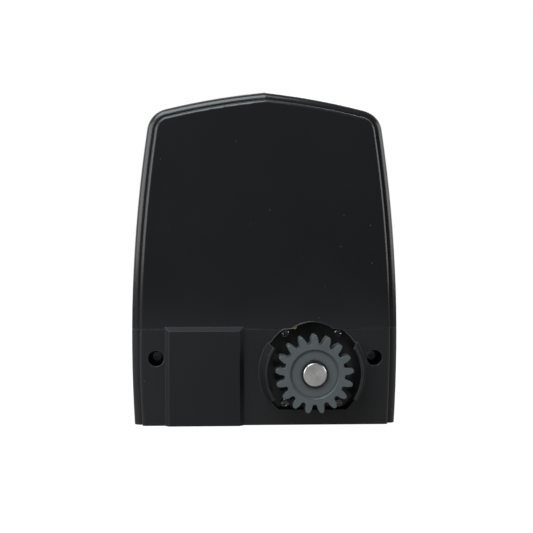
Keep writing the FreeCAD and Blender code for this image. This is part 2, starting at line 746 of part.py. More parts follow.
dimensions(
    ("gear_plane", -34, "worm and motor axis, origin to the middle of the worm wheel"),
    ("worm_x", 1.5, "worm and motor axis along the gate"),
    ("chamber_bore", 41, "radius of the worm wheel's chamber"),
    ("chamber_wall", 4.5, "wall of the chamber"),
    ("chamber_front", -4, "house side of the gearbox housing"),
    ("flange_wall", 8, "thickness of the gearbox flange"),
    ("flange_radius", 52, "round part of the flange"),
    ("tower_radius", 21, "housing round the worm shaft"),
    ("tower_foot", 7.5, "bottom of that housing"),
    ("worm_bore", 12.5, "radius of the worm's chamber"),
    ("motor_seat", 102, "top of the gearbox, under the motor"),
    ("seat_wall", 9, "thickness of the motor seat"),
    ("seat_radius", 47, "radius of the motor seat"),
    ("feet_wall", 7, "thickness of the gearbox feet"),
    ("journal", 25, "output shaft's journals and bearing bore"),
    ("bearing_width", 12, "output bearings"),
    ("bearing_outer", 47, "output bearings"),
    ("front_bearing", -80.5, "gate side of the bearing in the flange"),
    ("rear_bearing", -18, "gate side of the bearing in the housing"),
    ("seal_outer", 42, "shaft seal"),
    ("seal_width", 6.5, "shaft seal"),
    ("spigot_wall", 5, "flange's spigot round its bearing"),
    ("worm_bearing_bore", 12, "worm shaft's lower bearing"),
    ("worm_bearing_outer", 32, "both worm shaft bearings"),
    ("worm_bearing_width", 10, "both worm shaft bearings"),
    ("lower_bearing", 14, "bottom of the lower worm bearing"),
    ("upper_bearing", 86, "bottom of the upper worm bearing"),
    ("flange_screw_head", 7.5, "heads of the flange screws"),
    ("flange_screw", 5, "flange screws"),
    ("flange_screw_x", 27, "flange screws, out from the shaft"),
    ("flange_screw_up", 37.5, "upper flange screws, above the shaft"),
    ("flange_screw_down", 33, "lower flange screws, below the shaft"),
    ("dowel_x", -17, "brass dowel in the flange, from the shaft"),
    ("dowel_z", 43, "brass dowel in the flange, from the shaft"),
    ("dowel", 4, "brass dowel"),
)


def bearing(axis, first, second, bore, outer, low, width):
    # A sealed ball bearing: two rings with the seals set back between them.
    high = low + width
    edge = (outer - bore) / 8
    ring = less(cylinder(axis, first, second, outer / 2, low, high),
                cylinder(axis, first, second, bore / 2 + d.press_gap, low - 1, high + 1))
    grooves = []
    for start, end in ((low - 1, low + 0.8), (high - 0.8, high + 1)):
        grooves.append(less(cylinder(axis, first, second, outer / 2 - edge, start, end),
                            cylinder(axis, first, second, bore / 2 + edge, start, end)))
    return less(ring, *grooves)


def gearbox_housing():
    x, z = d.shaft_x, d.shaft_z
    flange_back = d.flange_face + d.flange_wall
    tower = ("Z", d.worm_x, d.gear_plane)
    solid = [
        cylinder("Y", x, z, d.chamber_bore + d.chamber_wall, flange_back + d.press_gap, d.chamber_front),
        cylinder(*tower, d.tower_radius, d.tower_foot, d.motor_seat - 1),
        cylinder(*tower, d.seat_radius, d.motor_seat - d.seat_wall, d.motor_seat),
        feet_plate(),
        *chamber_ribs(),
    ]
    inner_face = d.rear_bearing - 3
    worm_top = d.upper_bearing
    holes = [
        cylinder("Y", x, z, d.chamber_bore, flange_back - 1, inner_face),
        cylinder("Y", x, z, d.bearing_outer / 2 + d.press_gap, inner_face - 1, d.rear_bearing + d.bearing_width),
        cylinder("Y", x, z, d.journal / 2 + 1, d.rear_bearing, d.chamber_front + 1),
        cylinder(*tower, d.worm_bore, d.lower_bearing, worm_top + 1),
        cylinder(*tower, d.worm_bearing_outer / 2 + d.press_gap, d.lower_bearing,
                 d.lower_bearing + d.worm_bearing_width),
        cylinder(*tower, d.worm_bearing_outer / 2 + d.press_gap, worm_top, d.motor_seat + 1),
    ]
    for foot_x, foot_y in gearbox_feet():
        holes.append(cylinder("Z", foot_x, foot_y, d.feet_screw / 2 + 0.5, 0, d.floor_wall + d.feet_wall + 1))
    for up_x, up_z in flange_screw_spots():
        holes.append(cylinder("Y", up_x, up_z, d.flange_screw / 2 + d.press_gap, flange_back - 1,
                              flange_back + 14))
    return finish(less(union(*solid, *flange_bosses()), *holes), "gearbox_housing")


def feet_plate():
    low = d.floor_wall + d.fit_gap
    return block(d.feet_left - 11, d.feet_right + 9, d.feet_rear - 10, d.feet_front + 10, low,
                 low + d.feet_wall)


def chamber_ribs():
    # Two webs under the chamber and one under the motor seat, down to the feet.
    low = d.floor_wall + 1
    return [
        block(d.shaft_x - 34, d.shaft_x + 34, y - 3, y + 3, low, d.shaft_z)
        for y in (d.feet_rear, d.feet_front)
    ] + [block(d.worm_x - 2.5, d.worm_x + 2.5, d.gear_plane - 30, d.gear_plane + 30, low, d.motor_seat - 2)]


def flange_screw_spots():
    x, z = d.shaft_x, d.shaft_z
    return [(x + side * d.flange_screw_x, z + rise)
            for side in (-1, 1) for rise in (d.flange_screw_up, -d.flange_screw_down)]


def flange_bosses():
    back = d.flange_face + d.flange_wall + d.press_gap
    return [cylinder("Y", x, z, d.flange_screw_head / 2 + 1.5, back, back + 18) for x, z in flange_screw_spots()]


def gearbox_flange():
    # The black front plate: it closes the chamber and holds the front bearing and the seal.
    x, z = d.shaft_x, d.shaft_z
    back = d.flange_face + d.flange_wall
    plate = rear_opening(d.flange_radius, d.opening_floor - d.collar_wall, d.flange_face, back)
    end = d.front_bearing + d.bearing_width
    spigot = cylinder("Y", x, z, d.bearing_outer / 2 + d.spigot_wall, back - 1, end)
    holes = [
        cylinder("Y", x, z, d.bearing_outer / 2 + d.press_gap, d.front_bearing, end + 1),
        cylinder("Y", x, z, d.seal_outer / 2 + d.press_gap, d.flange_face - 1,
                 d.flange_face + d.seal_width + 0.5),
        cylinder("Y", x, z, d.journal / 2 + 1.5, d.flange_face, end),
        cylinder("Y", x + d.dowel_x, z + d.dowel_z, d.dowel / 2 + d.press_gap, d.flange_face - 1, back + 1),
        cylinder("Z", d.worm_x, d.gear_plane, d.motor_outer / 2 + d.fit_gap, d.motor_seat,
                 d.shaft_z + 2 * d.flange_radius),
    ]
    for screw_x, screw_z in flange_screw_spots():
        holes.append(cylinder("Y", screw_x, screw_z, d.flange_screw / 2 + d.press_gap, d.flange_face - 1, back + 1))
    return finish(less(union(plate, spigot), *holes), "gearbox_flange")


def gearbox_fasteners():
    screws = []
    for x, z in flange_screw_spots():
        head = cylinder("Y", x, z, d.flange_screw_head / 2, d.flange_face - 4, d.flange_face - 0.05)
        socket = cylinder("Y", x, z, d.flange_screw_head / 4, d.flange_face - 5, d.flange_face - 1.5)
        shank = cylinder("Y", x, z, d.flange_screw / 2, d.flange_face - 1, d.flange_face + d.flange_wall + 12)
        screws.append(union(less(head, socket), shank))
    finish(together(*screws), "flange_screws")
    finish(cylinder("Y", d.shaft_x + d.dowel_x, d.shaft_z + d.dowel_z, d.dowel / 2, d.flange_face - 1.5,
                    d.flange_face + d.flange_wall - 0.5), "flange_dowel")
    feet = []
    seat = d.floor_wall + d.fit_gap + d.feet_wall + 0.05
    for x, y in gearbox_feet():
        head = cylinder("Z", x, y, d.feet_screw * 0.8, seat, seat + d.feet_screw * 0.7)
        socket = cylinder("Z", x, y, d.feet_screw * 0.4, seat + d.feet_screw * 0.4, seat + d.feet_screw)
        feet.append(union(less(head, socket), cylinder("Z", x, y, d.feet_screw / 2, 1, seat + 1)))
    finish(together(*feet), "gearbox_feet_screws")
    x, z = d.shaft_x, d.shaft_z
    finish(bearing("Y", x, z, d.journal, d.bearing_outer, d.front_bearing, d.bearing_width - 0.05),
           "front_output_bearing")
    finish(bearing("Y", x, z, d.journal, d.bearing_outer, d.rear_bearing, d.bearing_width - 0.05),
           "rear_output_bearing")
    seal_end = d.flange_face + d.seal_width
    lip = d.journal / 2 + d.press_gap
    ring = less(cylinder("Y", x, z, d.seal_outer / 2, d.flange_face + 0.5, seal_end),
                cylinder("Y", x, z, lip, d.flange_face, seal_end + 1))
    recess = less(cylinder("Y", x, z, d.seal_outer / 2 - 2.5, d.flange_face, d.flange_face + 2),
                  cylinder("Y", x, z, lip + 2.5, d.flange_face, d.flange_face + 2))
    finish(less(ring, recess), "shaft_seal")
    for label, low in (("lower_worm_bearing", d.lower_bearing), ("upper_worm_bearing", d.upper_bearing)):
        finish(bearing("Z", d.worm_x, d.gear_plane, d.worm_bearing_bore, d.worm_bearing_outer,
                       low + 0.05, d.worm_bearing_width - 0.1), label)


# ---------------------------------------------------------------- gears

dimensions(
    ("pinion_teeth", 17, "teeth of the output pinion"),
    ("pinion_module", 4, "pinion's module, that of a steel gate rack"),
    ("pinion_front", -126, "pinion's face, towards the gate"),
    ("pinion_width", 22, "width of its teeth"),
    ("pinion_hub", 19, "radius of the hub behind the teeth"),
    ("hub_end", -89, "house side of that hub"),
    ("pinion_recess", 23, "radius of the recess in its face"),
    ("recess_depth", 1.5, "depth of that recess"),
    ("recess_bevel", 1.1, "slope round that recess"),
    ("undercut", 1.03, "gap bottom's radius, against one that just touches both teeth"),
    ("shaft_end", -128, "output shaft's end, towards the gate"),
    ("shaft_diameter", 22.5, "output shaft inside the pinion"),
    ("shaft_chamfer", 0.8, "chamfer on its end"),
    ("shaft_tail", -3, "output shaft's end, towards the house"),
    ("wheel_teeth", 36, "teeth of the worm wheel"),
    ("wheel_module", 2, "module of worm and wheel"),
    ("wheel_width", 20, "width of the worm wheel"),
    ("wheel_hub", 21, "radius of the wheel's hub"),
    ("wheel_bore", 15, "radius of the bore for the wheel's bush"),
    ("worm_pitch_radius", 9, "pitch radius of the worm"),
    ("worm_turns", 5, "turns of the worm's thread, an odd number to face a tooth"),
    ("backlash", 0.3, "play between teeth, along the pitch line"),
    ("pressure_angle", 20, "of all teeth, degrees"),
    ("dog_depth", 4, "clutch dogs"),
    ("dog_radius", 19.5, "outside of the clutch ring"),
    ("clutch_ring_low", -55, "gate side of the clutch ring, engaged"),
    ("clutch_ring_high", -45, "house side of the clutch ring, engaged"),
    ("clutch_travel", 6, "how far the clutch slides to release"),
    ("clutch_pin", 5, "cross pin through the shaft"),
    ("rod_head", 7, "radius of the rod's head"),
    ("rod_head_wall", 4, "thickness of the rod's head"),
    ("cam_low", 8, "cam radius with the lever shut"),
    ("cam_gap", 0.2, "gap between cam and rod"),
    ("key_width", 8, "key between shaft and pinion"),
    ("key_rise", 3, "how far the key stands out of the shaft"),
    ("tip_round", 0.7, "rounding of the pinion's tooth tips"),
)


def involute(angle):
    # The involute function of an angle, in degrees.
    return tangent(angle) * (180 / math.pi) - angle


def pressure_at(base, radius):
    ratio = base / radius
    return Size(math.degrees(math.acos(number(ratio))), f"(acos({text_of(ratio)}) / 1 deg)")


def tooth_edge(teeth, module, play, radius):
    # Where the tooth's flank crosses a radius: a point right of the tooth's middle line.
    pitch = teeth * module / 2
    base = pitch * cosine(d.pressure_angle)
    half = 90 / teeth - play / (4 * pitch) * (180 / math.pi) + involute(d.pressure_angle)
    if number(radius) > number(base):
        half = half - involute(pressure_at(base, radius))
    return radius * sine(half), radius * cosine(half)


def draw_tooth(drawing, teeth, module, play):
    # One involute tooth, upright on the root circle; each flank is the arc that follows the involute.
    pitch = teeth * module / 2
    base = pitch * cosine(d.pressure_angle)
    low, tip = base * 1.003, pitch + module
    middle_radius = (low + tip) / 2
    curve = middle_radius * middle_radius - base * base
    curve = Size(math.sqrt(curve.value), f"sqrt({curve.text})")
    sink, start, halfway, end = (tooth_edge(teeth, module, play, r)
                                 for r in (pitch - 1.7 * module, low, middle_radius, tip))

    def at(point, hand):
        return Vector(hand * number(point[0]), number(point[1]), 0)

    sides = []
    for hand in (1, -1):
        leg = drawing.add(Part.LineSegment(at(sink, hand), at(start, hand)))
        flank, near, far = drawing.arc(*((hand * x, y) for x, y in (start, halfway, end)), curve)
        drawing.fix(leg, 1, hand * sink[0], sink[1])
        drawing.fix(leg, 2, hand * start[0], start[1])
        drawing.rule("Coincident", leg, 2, flank, near)
        drawing.fix(flank, far, hand * end[0], end[1])
        sides.append((leg, flank, far))
    (leg, flank, far), (other_leg, other_flank, other_far) = sides
    for spot, ends in ((sink, ((leg, 1), (other_leg, 1))), (end, ((flank, far), (other_flank, other_far)))):
        bar = drawing.add(Part.LineSegment(at(spot, 1), at(spot, -1)))
        drawing.rule("Coincident", bar, 1, *ends[0])
        drawing.rule("Coincident", bar, 2, *ends[1])


def repeat_round(body, feature, count, axis="Y_Axis"):
    pattern = body.newObject("PartDesign::PolarPattern", "Pattern")
    pattern.Originals = [feature]
    pattern.Axis = (next(a for a in body.Origin.OriginFeatures if a.Role == axis), [""])
    pattern.Angle = 360
    pattern.Occurrences = int(number(count))
    bind(pattern, "Occurrences", count)
    body.Tip = pattern
    doc.recompute()
    return pattern


def output_pinion():
    body = new_body("PinionBlank")
    teeth, module = d.pinion_teeth, d.pinion_module
    pitch = teeth * module / 2
    root = pitch - 1.25 * module
    # Half the angle of the gap between two teeth, below their base circle, and the round bottom that fits it.
    gap = 90 / teeth + d.backlash / (4 * pitch) * (180 / math.pi) - involute(d.pressure_angle)
    gullet = root * sine(gap) / (1 - sine(gap)) * d.undercut
    gullet_reach = root + gullet
    front, back = d.pinion_front, d.pinion_front + d.pinion_width
    along_y(body, front, back, lambda s: s.circle(0, 0, gullet_reach * cosine(gap)))
    tooth = along_y(body, front, back, lambda s: draw_tooth(s, teeth, module, d.backlash))
    repeat_round(body, tooth, teeth)
    dress(body, "Fillet", d.tip_round, lambda e: is_straight(e) and reach_of(e) > number(pitch + module) - 0.1)
    bottom = along_y(body, front, back, lambda s: s.circle(
        gullet_reach * sine(180 / teeth), gullet_reach * cosine(180 / teeth), gullet), cut=True)
    repeat_round(body, bottom, teeth)
    along_y(body, back, d.hub_end, lambda s: s.circle(0, 0, d.pinion_hub))
    along_y(body, front, front + d.recess_depth, lambda s: s.circle(0, 0, d.pinion_recess), cut=True)
    dress(body, "Chamfer", d.recess_bevel, lambda e: is_round(e, number(d.pinion_recess), number(front)))
    along_y(body, front, d.hub_end, lambda s: s.circle(0, 0, d.shaft_diameter / 2 + d.press_gap), cut=True)
    slot = d.key_width / 2 + d.press_gap
    along_y(body, front, d.hub_end, lambda s: s.rectangle(-1 * slot, slot, 0, d.shaft_diameter / 2 + d.key_rise),
            cut=True)
    return finish(move_to(body, d.shaft_x, 0, d.shaft_z), "output_pinion")


def is_round(edge, radius, y):
    # Whether an edge is the full circle of that radius at that depth.
    return not is_straight(edge) and abs(edge.Length - 2 * math.pi * radius) < 0.01 and abs(middle(edge).y - y) < 0.01


def reach_of(edge):
    point = middle(edge)
    return math.hypot(point.x, point.z)


def worm_wheel():
    # Helical to suit the worm: each tooth is lofted between two drawings that are turned against each other.
    body = new_body("WheelBlank")
    teeth, module = d.wheel_teeth, d.wheel_module
    pitch = teeth * module / 2
    low, high = d.gear_plane - d.wheel_width / 2, d.gear_plane + d.wheel_width / 2
    along_y(body, low, high, lambda s: s.circle(0, 0, pitch - 1.25 * module))
    lead_slope = module / (2 * d.worm_pitch_radius)
    twist = lead_slope * d.wheel_width / (2 * pitch) * (180 / math.pi)
    sections = []
    for height, turn in ((low, twist), (high, -1 * twist)):
        drawing = draw_on(body, "XZ_Plane", -1 * height)
        drawing.sketch.AttachmentOffset = Placement(
            Vector(0, 0, -number(height)), Rotation(Vector(0, 0, 1), number(turn)))
        bind(drawing.sketch, "AttachmentOffset.Rotation.Angle", turn)
        draw_tooth(drawing, teeth, module, d.backlash)
        sections.append(drawing.sketch)
    tooth = body.newObject("PartDesign::AdditiveLoft", "Tooth")
    tooth.Profile = sections[0]
    tooth.Sections = [sections[1]]
    tooth.Ruled = True
    doc.recompute()
    repeat_round(body, tooth, teeth)
    along_y(body, d.clutch_ring_high + d.fit_gap, low, lambda s: s.circle(0, 0, d.wheel_hub))
    along_y(body, high, high + d.hub_rise, lambda s: s.circle(0, 0, d.wheel_hub))
    along_y(body, d.clutch_ring_high, high + d.hub_rise, lambda s: s.circle(0, 0, d.wheel_bore), cut=True)
    for face, depth in ((low, d.web_depth), (high - d.web_depth, d.web_depth)):
        outer, inner = pitch - 2.5 * module, d.wheel_hub
        along_y(body, face, face + depth, lambda s: (s.circle(0, 0, outer), s.circle(0, 0, inner)), cut=True)
    move_to(body, d.shaft_x, 0, d.shaft_z)
    start = d.clutch_ring_high
    slots = dog_blocks(start, start + d.dog_depth + 2 * d.fit_gap, d.fit_gap)
    return finish(less(body, *slots), "worm_wheel")


def dog_blocks(low, high, room):
    # Two bars across the shaft's axis: the clutch's dogs, or with room the slots that take them.
    half = d.dog_width / 2 + room
    inner, outer = d.wheel_bore + 0.5 - 3 * room, d.dog_radius + 3 * room
    x, z = d.shaft_x, d.shaft_z
    return [
        block(x - outer, x - inner, low, high, z - half, z + half),
        block(x + inner, x + outer, low, high, z - half, z + half),
    ]


def worm_shaft():
    # The motor's shaft and the worm in one piece.
    pitch, module = d.worm_pitch_radius, d.wheel_module
    core, tip = pitch - 1.25 * module, pitch + module
    spot = (d.worm_x, d.gear_plane)
    low_end = d.lower_bearing + 1
    parts = [
        cylinder("Z", *spot, d.worm_bearing_bore / 2, low_end, d.lower_bearing + d.worm_bearing_width + 1),
        cylinder("Z", *spot, core, d.lower_bearing + d.worm_bearing_width + 0.2, d.upper_bearing - 0.2),
        cylinder("Z", *spot, d.worm_bearing_bore / 2, d.upper_bearing - 1, d.rotor_low + 2),
        cylinder("Z", *spot, d.rotor_shaft / 2, d.upper_bearing + d.worm_bearing_width + 1, d.top_bearing - 1),
        cylinder("Z", *spot, d.worm_bearing_bore / 2, d.top_bearing - 2, d.top_bearing + d.worm_bearing_width),
    ]
    thread = new_body("WormThread")
    drawing = draw_on(thread, "XZ_Plane", 0)
    axial = math.pi * module
    length = d.worm_turns * axial
    slope = tangent(d.pressure_angle)
    half = axial / 4 - d.backlash / 4
    inner = core - 0.3
    foot, crest = half + (pitch - inner) * slope, half - (tip - pitch) * slope
    drawing.polygon([(inner, -1 * foot), (tip, -1 * crest), (tip, crest), (inner, foot)])
    helix = thread.newObject("PartDesign::AdditiveHelix", "Helix")
    helix.Profile = drawing.sketch
    helix.ReferenceAxis = (drawing.sketch, ["V_Axis"])
    helix.Mode = "pitch-height-angle"
    helix.Pitch = number(axial)
    helix.Height = number(length)
    bind(helix, "Pitch", axial)
    bind(helix, "Height", length)
    doc.recompute()
    move_to(thread, d.worm_x, d.gear_plane, d.shaft_z - length / 2)
    return finish(union(*parts, thread), "worm_shaft")


def output_shaft():
    x, z = d.shaft_x, d.shaft_z
    nose = cylinder("Y", x, z, d.shaft_diameter / 2, d.shaft_end, d.hub_end + 1)
    blunt = doc.addObject("Part::Chamfer", "NoseChamfer")
    blunt.Base = nose
    doc.recompute()
    rim = [i for i, e in enumerate(nose.Shape.Edges, 1)
           if not is_straight(e) and abs(middle(e).y - number(d.shaft_end)) < 1e-4]
    blunt.Edges = [(i, number(d.shaft_chamfer), number(d.shaft_chamfer)) for i in rim]
    barrel = cylinder("Y", x, z, d.journal / 2, d.hub_end + 0.2, d.shaft_tail)
    hollow = cylinder("Y", x, z, d.rod_radius + d.running_gap, d.clutch_ring_low - 2, d.shaft_tail + 1)
    pin = d.clutch_pin / 2 + d.running_gap
    middle_y = (d.clutch_ring_low + d.clutch_ring_high) / 2
    travel = d.clutch_travel + 0.5
    slot = union(
        block(x - d.journal, x + d.journal, middle_y - travel, middle_y + 0.5, z - pin, z + pin),
        cylinder("X", middle_y + 0.5, z, pin, x - d.journal, x + d.journal),
        cylinder("X", middle_y - travel, z, pin, x - d.journal, x + d.journal))
    hollow_low = cylinder("Y", x, z, d.rod_radius + d.running_gap, middle_y - travel - 5, d.clutch_ring_low)
    groove_face = d.pinion_front + d.recess_depth - d.ring_wall
    groove = less(cylinder("Y", x, z, d.shaft_diameter, groove_face - 0.1, groove_face + d.ring_wall + 0.05),
                  cylinder("Y", x, z, d.ring_groove, groove_face - 1, groove_face + d.ring_wall + 1))
    half = d.key_width / 2
    seat = block(x - half - d.press_gap, x + half + d.press_gap, d.key_low, d.key_high,
                 z + d.shaft_diameter / 2 - d.key_rise, z + d.shaft_diameter)
    finish(less(union(blunt, barrel), hollow, hollow_low, slot, groove, seat), "output_shaft")
    finish(block(x - half, x + half, d.key_low + 0.1, d.key_high - 0.1,
                 z + d.shaft_diameter / 2 - d.key_rise + 0.05, z + d.shaft_diameter / 2 + d.key_rise - 0.1),
           "pinion_key")
    ring_middle = (d.ring_groove + d.ring_outer) / 2
    gap_x = x + ring_middle * cosine(d.ring_gap_angle)
    gap_z = z + ring_middle * sine(d.ring_gap_angle)
    finish(less(cylinder("Y", x, z, d.ring_outer, groove_face, groove_face + d.ring_wall),
                cylinder("Y", x, z, d.ring_groove + d.press_gap, groove_face - 1, groove_face + d.ring_wall + 1),
                cylinder("Y", gap_x, gap_z, d.ring_gap / 2, groove_face - 1, groove_face + d.ring_wall + 1)),
           "retaining_ring")


def clutch():
    x, z = d.shaft_x, d.shaft_z
    low, high = d.clutch_ring_low, d.clutch_ring_high
    middle_y = (low + high) / 2
    ring = less(cylinder("Y", x, z, d.dog_radius, low, high),
                cylinder("Y", x, z, d.journal / 2 + d.running_gap, low - 1, high + 1))
    dogs = dog_blocks(high - 1, high + d.dog_depth, 0)
    pin_radius = d.clutch_pin / 2
    hole = cylinder("X", middle_y, z, pin_radius, x - d.dog_radius, x + d.dog_radius)
    finish(less(union(ring, *dogs), hole), "clutch_ring")
    pin = cylinder("X", middle_y, z, pin_radius - 0.01, x - d.dog_radius + 0.5, x + d.dog_radius - 0.5)
    head_end = d.lever_pivot - d.cam_low - d.cam_gap
    rod = union(cylinder("Y", x, z, d.rod_radius, middle_y - 4, head_end - 1),
                cylinder("Y", x, z, d.rod_head, head_end - d.rod_head_wall, head_end))
    rod = less(rod, cylinder("X", middle_y, z, pin_radius, x - d.dog_radius, x + d.dog_radius))
    finish(pin, "clutch_pin")
    finish(rod, "clutch_rod")
    coil = new_body("CoilSpring")
    wire = d.spring_wire / 2
    room = d.clutch_ring_low - (d.front_bearing + d.bearing_width) - 2 * d.fit_gap
    drawing = draw_on(coil, "XY_Plane", 0)
    drawing.rectangle(d.spring_radius - wire, d.spring_radius + wire, 0, 2 * wire)
    helix = coil.newObject("PartDesign::AdditiveHelix", "Coil")
    helix.Profile = drawing.sketch
    helix.ReferenceAxis = (drawing.sketch, ["V_Axis"])
    helix.Mode = "height-turns-angle"
    helix.Height = number(room - 2 * wire)
    helix.Turns = number(d.spring_turns)
    bind(helix, "Height", room - 2 * wire)
    bind(helix, "Turns", d.spring_turns)
    doc.recompute()
    finish(move_to(coil, x, d.front_bearing + d.bearing_width + d.fit_gap, z), "clutch_spring")
    spacer = less(cylinder("Y", x, z, d.wheel_bore - d.press_gap, d.clutch_ring_high + d.fit_gap,
                           d.gear_plane + d.wheel_width / 2 + d.hub_rise),
                  cylinder("Y", x, z, d.journal / 2 + d.running_gap, d.clutch_ring_high, 0))
    finish(spacer, "wheel_bush")


dimensions(
    ("running_gap", 0.05, "radial clearance of running fits"),
    ("hub_rise", 2, "wheel's hub beyond its rim"),
    ("web_depth", 5, "recess in the wheel's sides"),
    ("dog_width", 8, "clutch dogs"),
    ("ring_wall", 1.4, "retaining ring"),
    ("ring_groove", 10.4, "radius of the ring's groove"),
    ("ring_outer", 13.3, "outside radius of the ring"),
    ("ring_gap", 4.5, "opening in the ring"),
    ("ring_gap_angle", -40, "where that opening stands, degrees above level"),
    ("key_low", -122, "key's end, towards the gate"),
    ("key_high", -96, "key's end, towards the house"),
    ("spring_wire", 2.4, "clutch spring"),
    ("spring_radius", 16, "clutch spring, to the middle of the wire"),
    ("spring_turns", 2.5, "clutch spring"),
    ("rotor_shaft", 16, "shaft inside the rotor"),
    ("rotor_low", 132, "bottom of the rotor"),
    ("rotor_high", 204, "top of the rotor"),
    ("top_bearing", 228, "bottom of the motor's top bearing"),
)


# ---------------------------------------------------------------- motor

dimensions(
    ("motor_outer", 92, "motor shell, over the fins' roots"),
    ("motor_bore", 84, "motor shell, inside"),
    ("shell_low", 108, "bottom of the shell's bore"),
    ("shell_high", 226, "top of the shell"),
    ("fin_depth", 3.5, "cooling fins"),
    ("fin_wall", 2.4, "cooling fins"),
    ("fin_count", 24, "cooling fins round the shell"),
    ("stator_bore", 46, "stator, inside"),
    ("stator_low", 136, "bottom of the stator"),
    ("stator_high", 200, "top of the stator"),
    ("air_gap", 0.35, "gap between rotor and stator"),
    ("winding_outer", 78, "end windings, outside"),
    ("winding_inner", 52, "end windings, inside"),
    ("winding_height", 16, "end windings, above and below the stator"),
    ("bell_high", 246, "top of the end bell"),
    ("bell_wall", 4, "wall of the end bell"),
    ("bolt_circle", 39, "through bolts, radius of their circle"),
    ("bolt", 4, "through bolts"),
)


def motor():
    spot = (d.worm_x, d.gear_plane)
    low = d.motor_seat + d.press_gap
    outer, bore = d.motor_outer / 2, d.motor_bore / 2
    body = new_body("MotorShell")
    along_z(body, low, d.shell_high, lambda s: s.circle(0, 0, outer))
    fin = along_z(body, low + 10, d.shell_high - 4, lambda s: s.rectangle(
        outer - 1, outer + d.fin_depth, -d.fin_wall / 2, d.fin_wall / 2))
    repeat_round(body, fin, d.fin_count, "Z_Axis")
    along_z(body, d.shell_low, d.shell_high, lambda s: s.circle(0, 0, bore), cut=True)
    boss = d.worm_bearing_outer / 2 - 1.5
    along_z(body, low, d.shell_low, lambda s: s.circle(0, 0, boss), cut=True)
    finish(move_to(body, *spot), "motor_shell")
    core = new_body("StatorCore")
    along_z(core, d.stator_low, d.stator_high, lambda s: (
        s.circle(0, 0, bore - d.press_gap), s.circle(0, 0, d.stator_bore / 2)))
    slot = along_z(core, d.stator_low, d.stator_high, lambda s: s.rectangle(
        d.stator_bore / 2 + 2, bore - 7, -3, 3), cut=True)
    repeat_round(core, slot, 12, "Z_Axis")
    finish(move_to(core, *spot), "stator_core")
    rings = []
    for z0, z1 in ((d.stator_low - d.winding_height, d.stator_low - d.press_gap),
                   (d.stator_high + d.press_gap, d.stator_high + d.winding_height)):
        ring = new_body("Winding")
        along_z(ring, z0, z1, lambda s: (s.circle(0, 0, d.winding_outer / 2), s.circle(0, 0, d.winding_inner / 2)))
        dress(ring, "Chamfer", 4, lambda e: not is_straight(e))
        rings.append(move_to(ring, *spot))
    finish(together(*rings), "stator_windings")
    rotor = less(cylinder("Z", *spot, d.stator_bore / 2 - d.air_gap, d.rotor_low, d.rotor_high),
                 cylinder("Z", *spot, d.rotor_shaft / 2 + d.press_gap, d.rotor_low - 1, d.rotor_high + 1))
    finish(rotor, "rotor_core")
    finish(bearing("Z", *spot, d.worm_bearing_bore, d.worm_bearing_outer, d.top_bearing + 0.05,
                   d.worm_bearing_width - 0.1), "top_motor_bearing")
    bell = new_body("EndBell")
    start = d.shell_high + d.press_gap
    along_z(bell, start, d.bell_high, lambda s: s.circle(0, 0, outer - 1))
    dress(bell, "Chamfer", 6, lambda e: not is_straight(e) and middle(e).z > number(start) + 1)
    along_z(bell, start, d.bell_high - d.bell_wall, lambda s: s.circle(0, 0, bore - 4), cut=True)
    along_z(bell, start, d.bell_high - d.bell_wall, lambda s: s.circle(0, 0, d.worm_bearing_outer / 2 + 4))
    along_z(bell, start, d.top_bearing + d.worm_bearing_width, lambda s: s.circle(
        0, 0, d.worm_bearing_outer / 2 + d.press_gap), cut=True)
    bolts = []
    x, y = spot
    holes = []
    for side_x, side_y in ((1, 1), (1, -1), (-1, 1), (-1, -1)):
        reach_out = d.bolt_circle * math.sqrt(0.5)
        bolt_x, bolt_y = x + side_x * reach_out, y + side_y * reach_out
        holes.append(cylinder("Z", bolt_x, bolt_y, d.bolt / 2 + d.press_gap, start - 1, d.bell_high + 1))
        shank = cylinder("Z", bolt_x, bolt_y, d.bolt / 2, start - 6, d.bell_high + 1)
        head = cylinder("Z", bolt_x, bolt_y, d.bolt, d.bell_high + 0.05, d.bell_high + d.bolt)
        bolts.append(union(shank, head))
    finish(less(move_to(bell, *spot), *holes), "motor_end_bell")
    finish(together(*bolts), "motor_bolts")


# ---------------------------------------------------------------- release lever

dimensions(
    ("lever_left", -46, "free end of the lever"),
    ("lever_low", 35, "bottom of the lever"),
    ("lever_high", 71, "top of the lever"),
    ("lever_face", 99.5, "lever's outer face"),
    ("lever_wall", 7, "thickness of its plate"),
    ("hub_radius", 7, "lever's hub round the pin"),
    ("cam_wall", 7, "half the cam's height"),
    ("lock_barrel", 18, "diameter of the lock barrel"),
    ("tongue_reach", 22, "lock tongue, from the barrel's axis"),
)


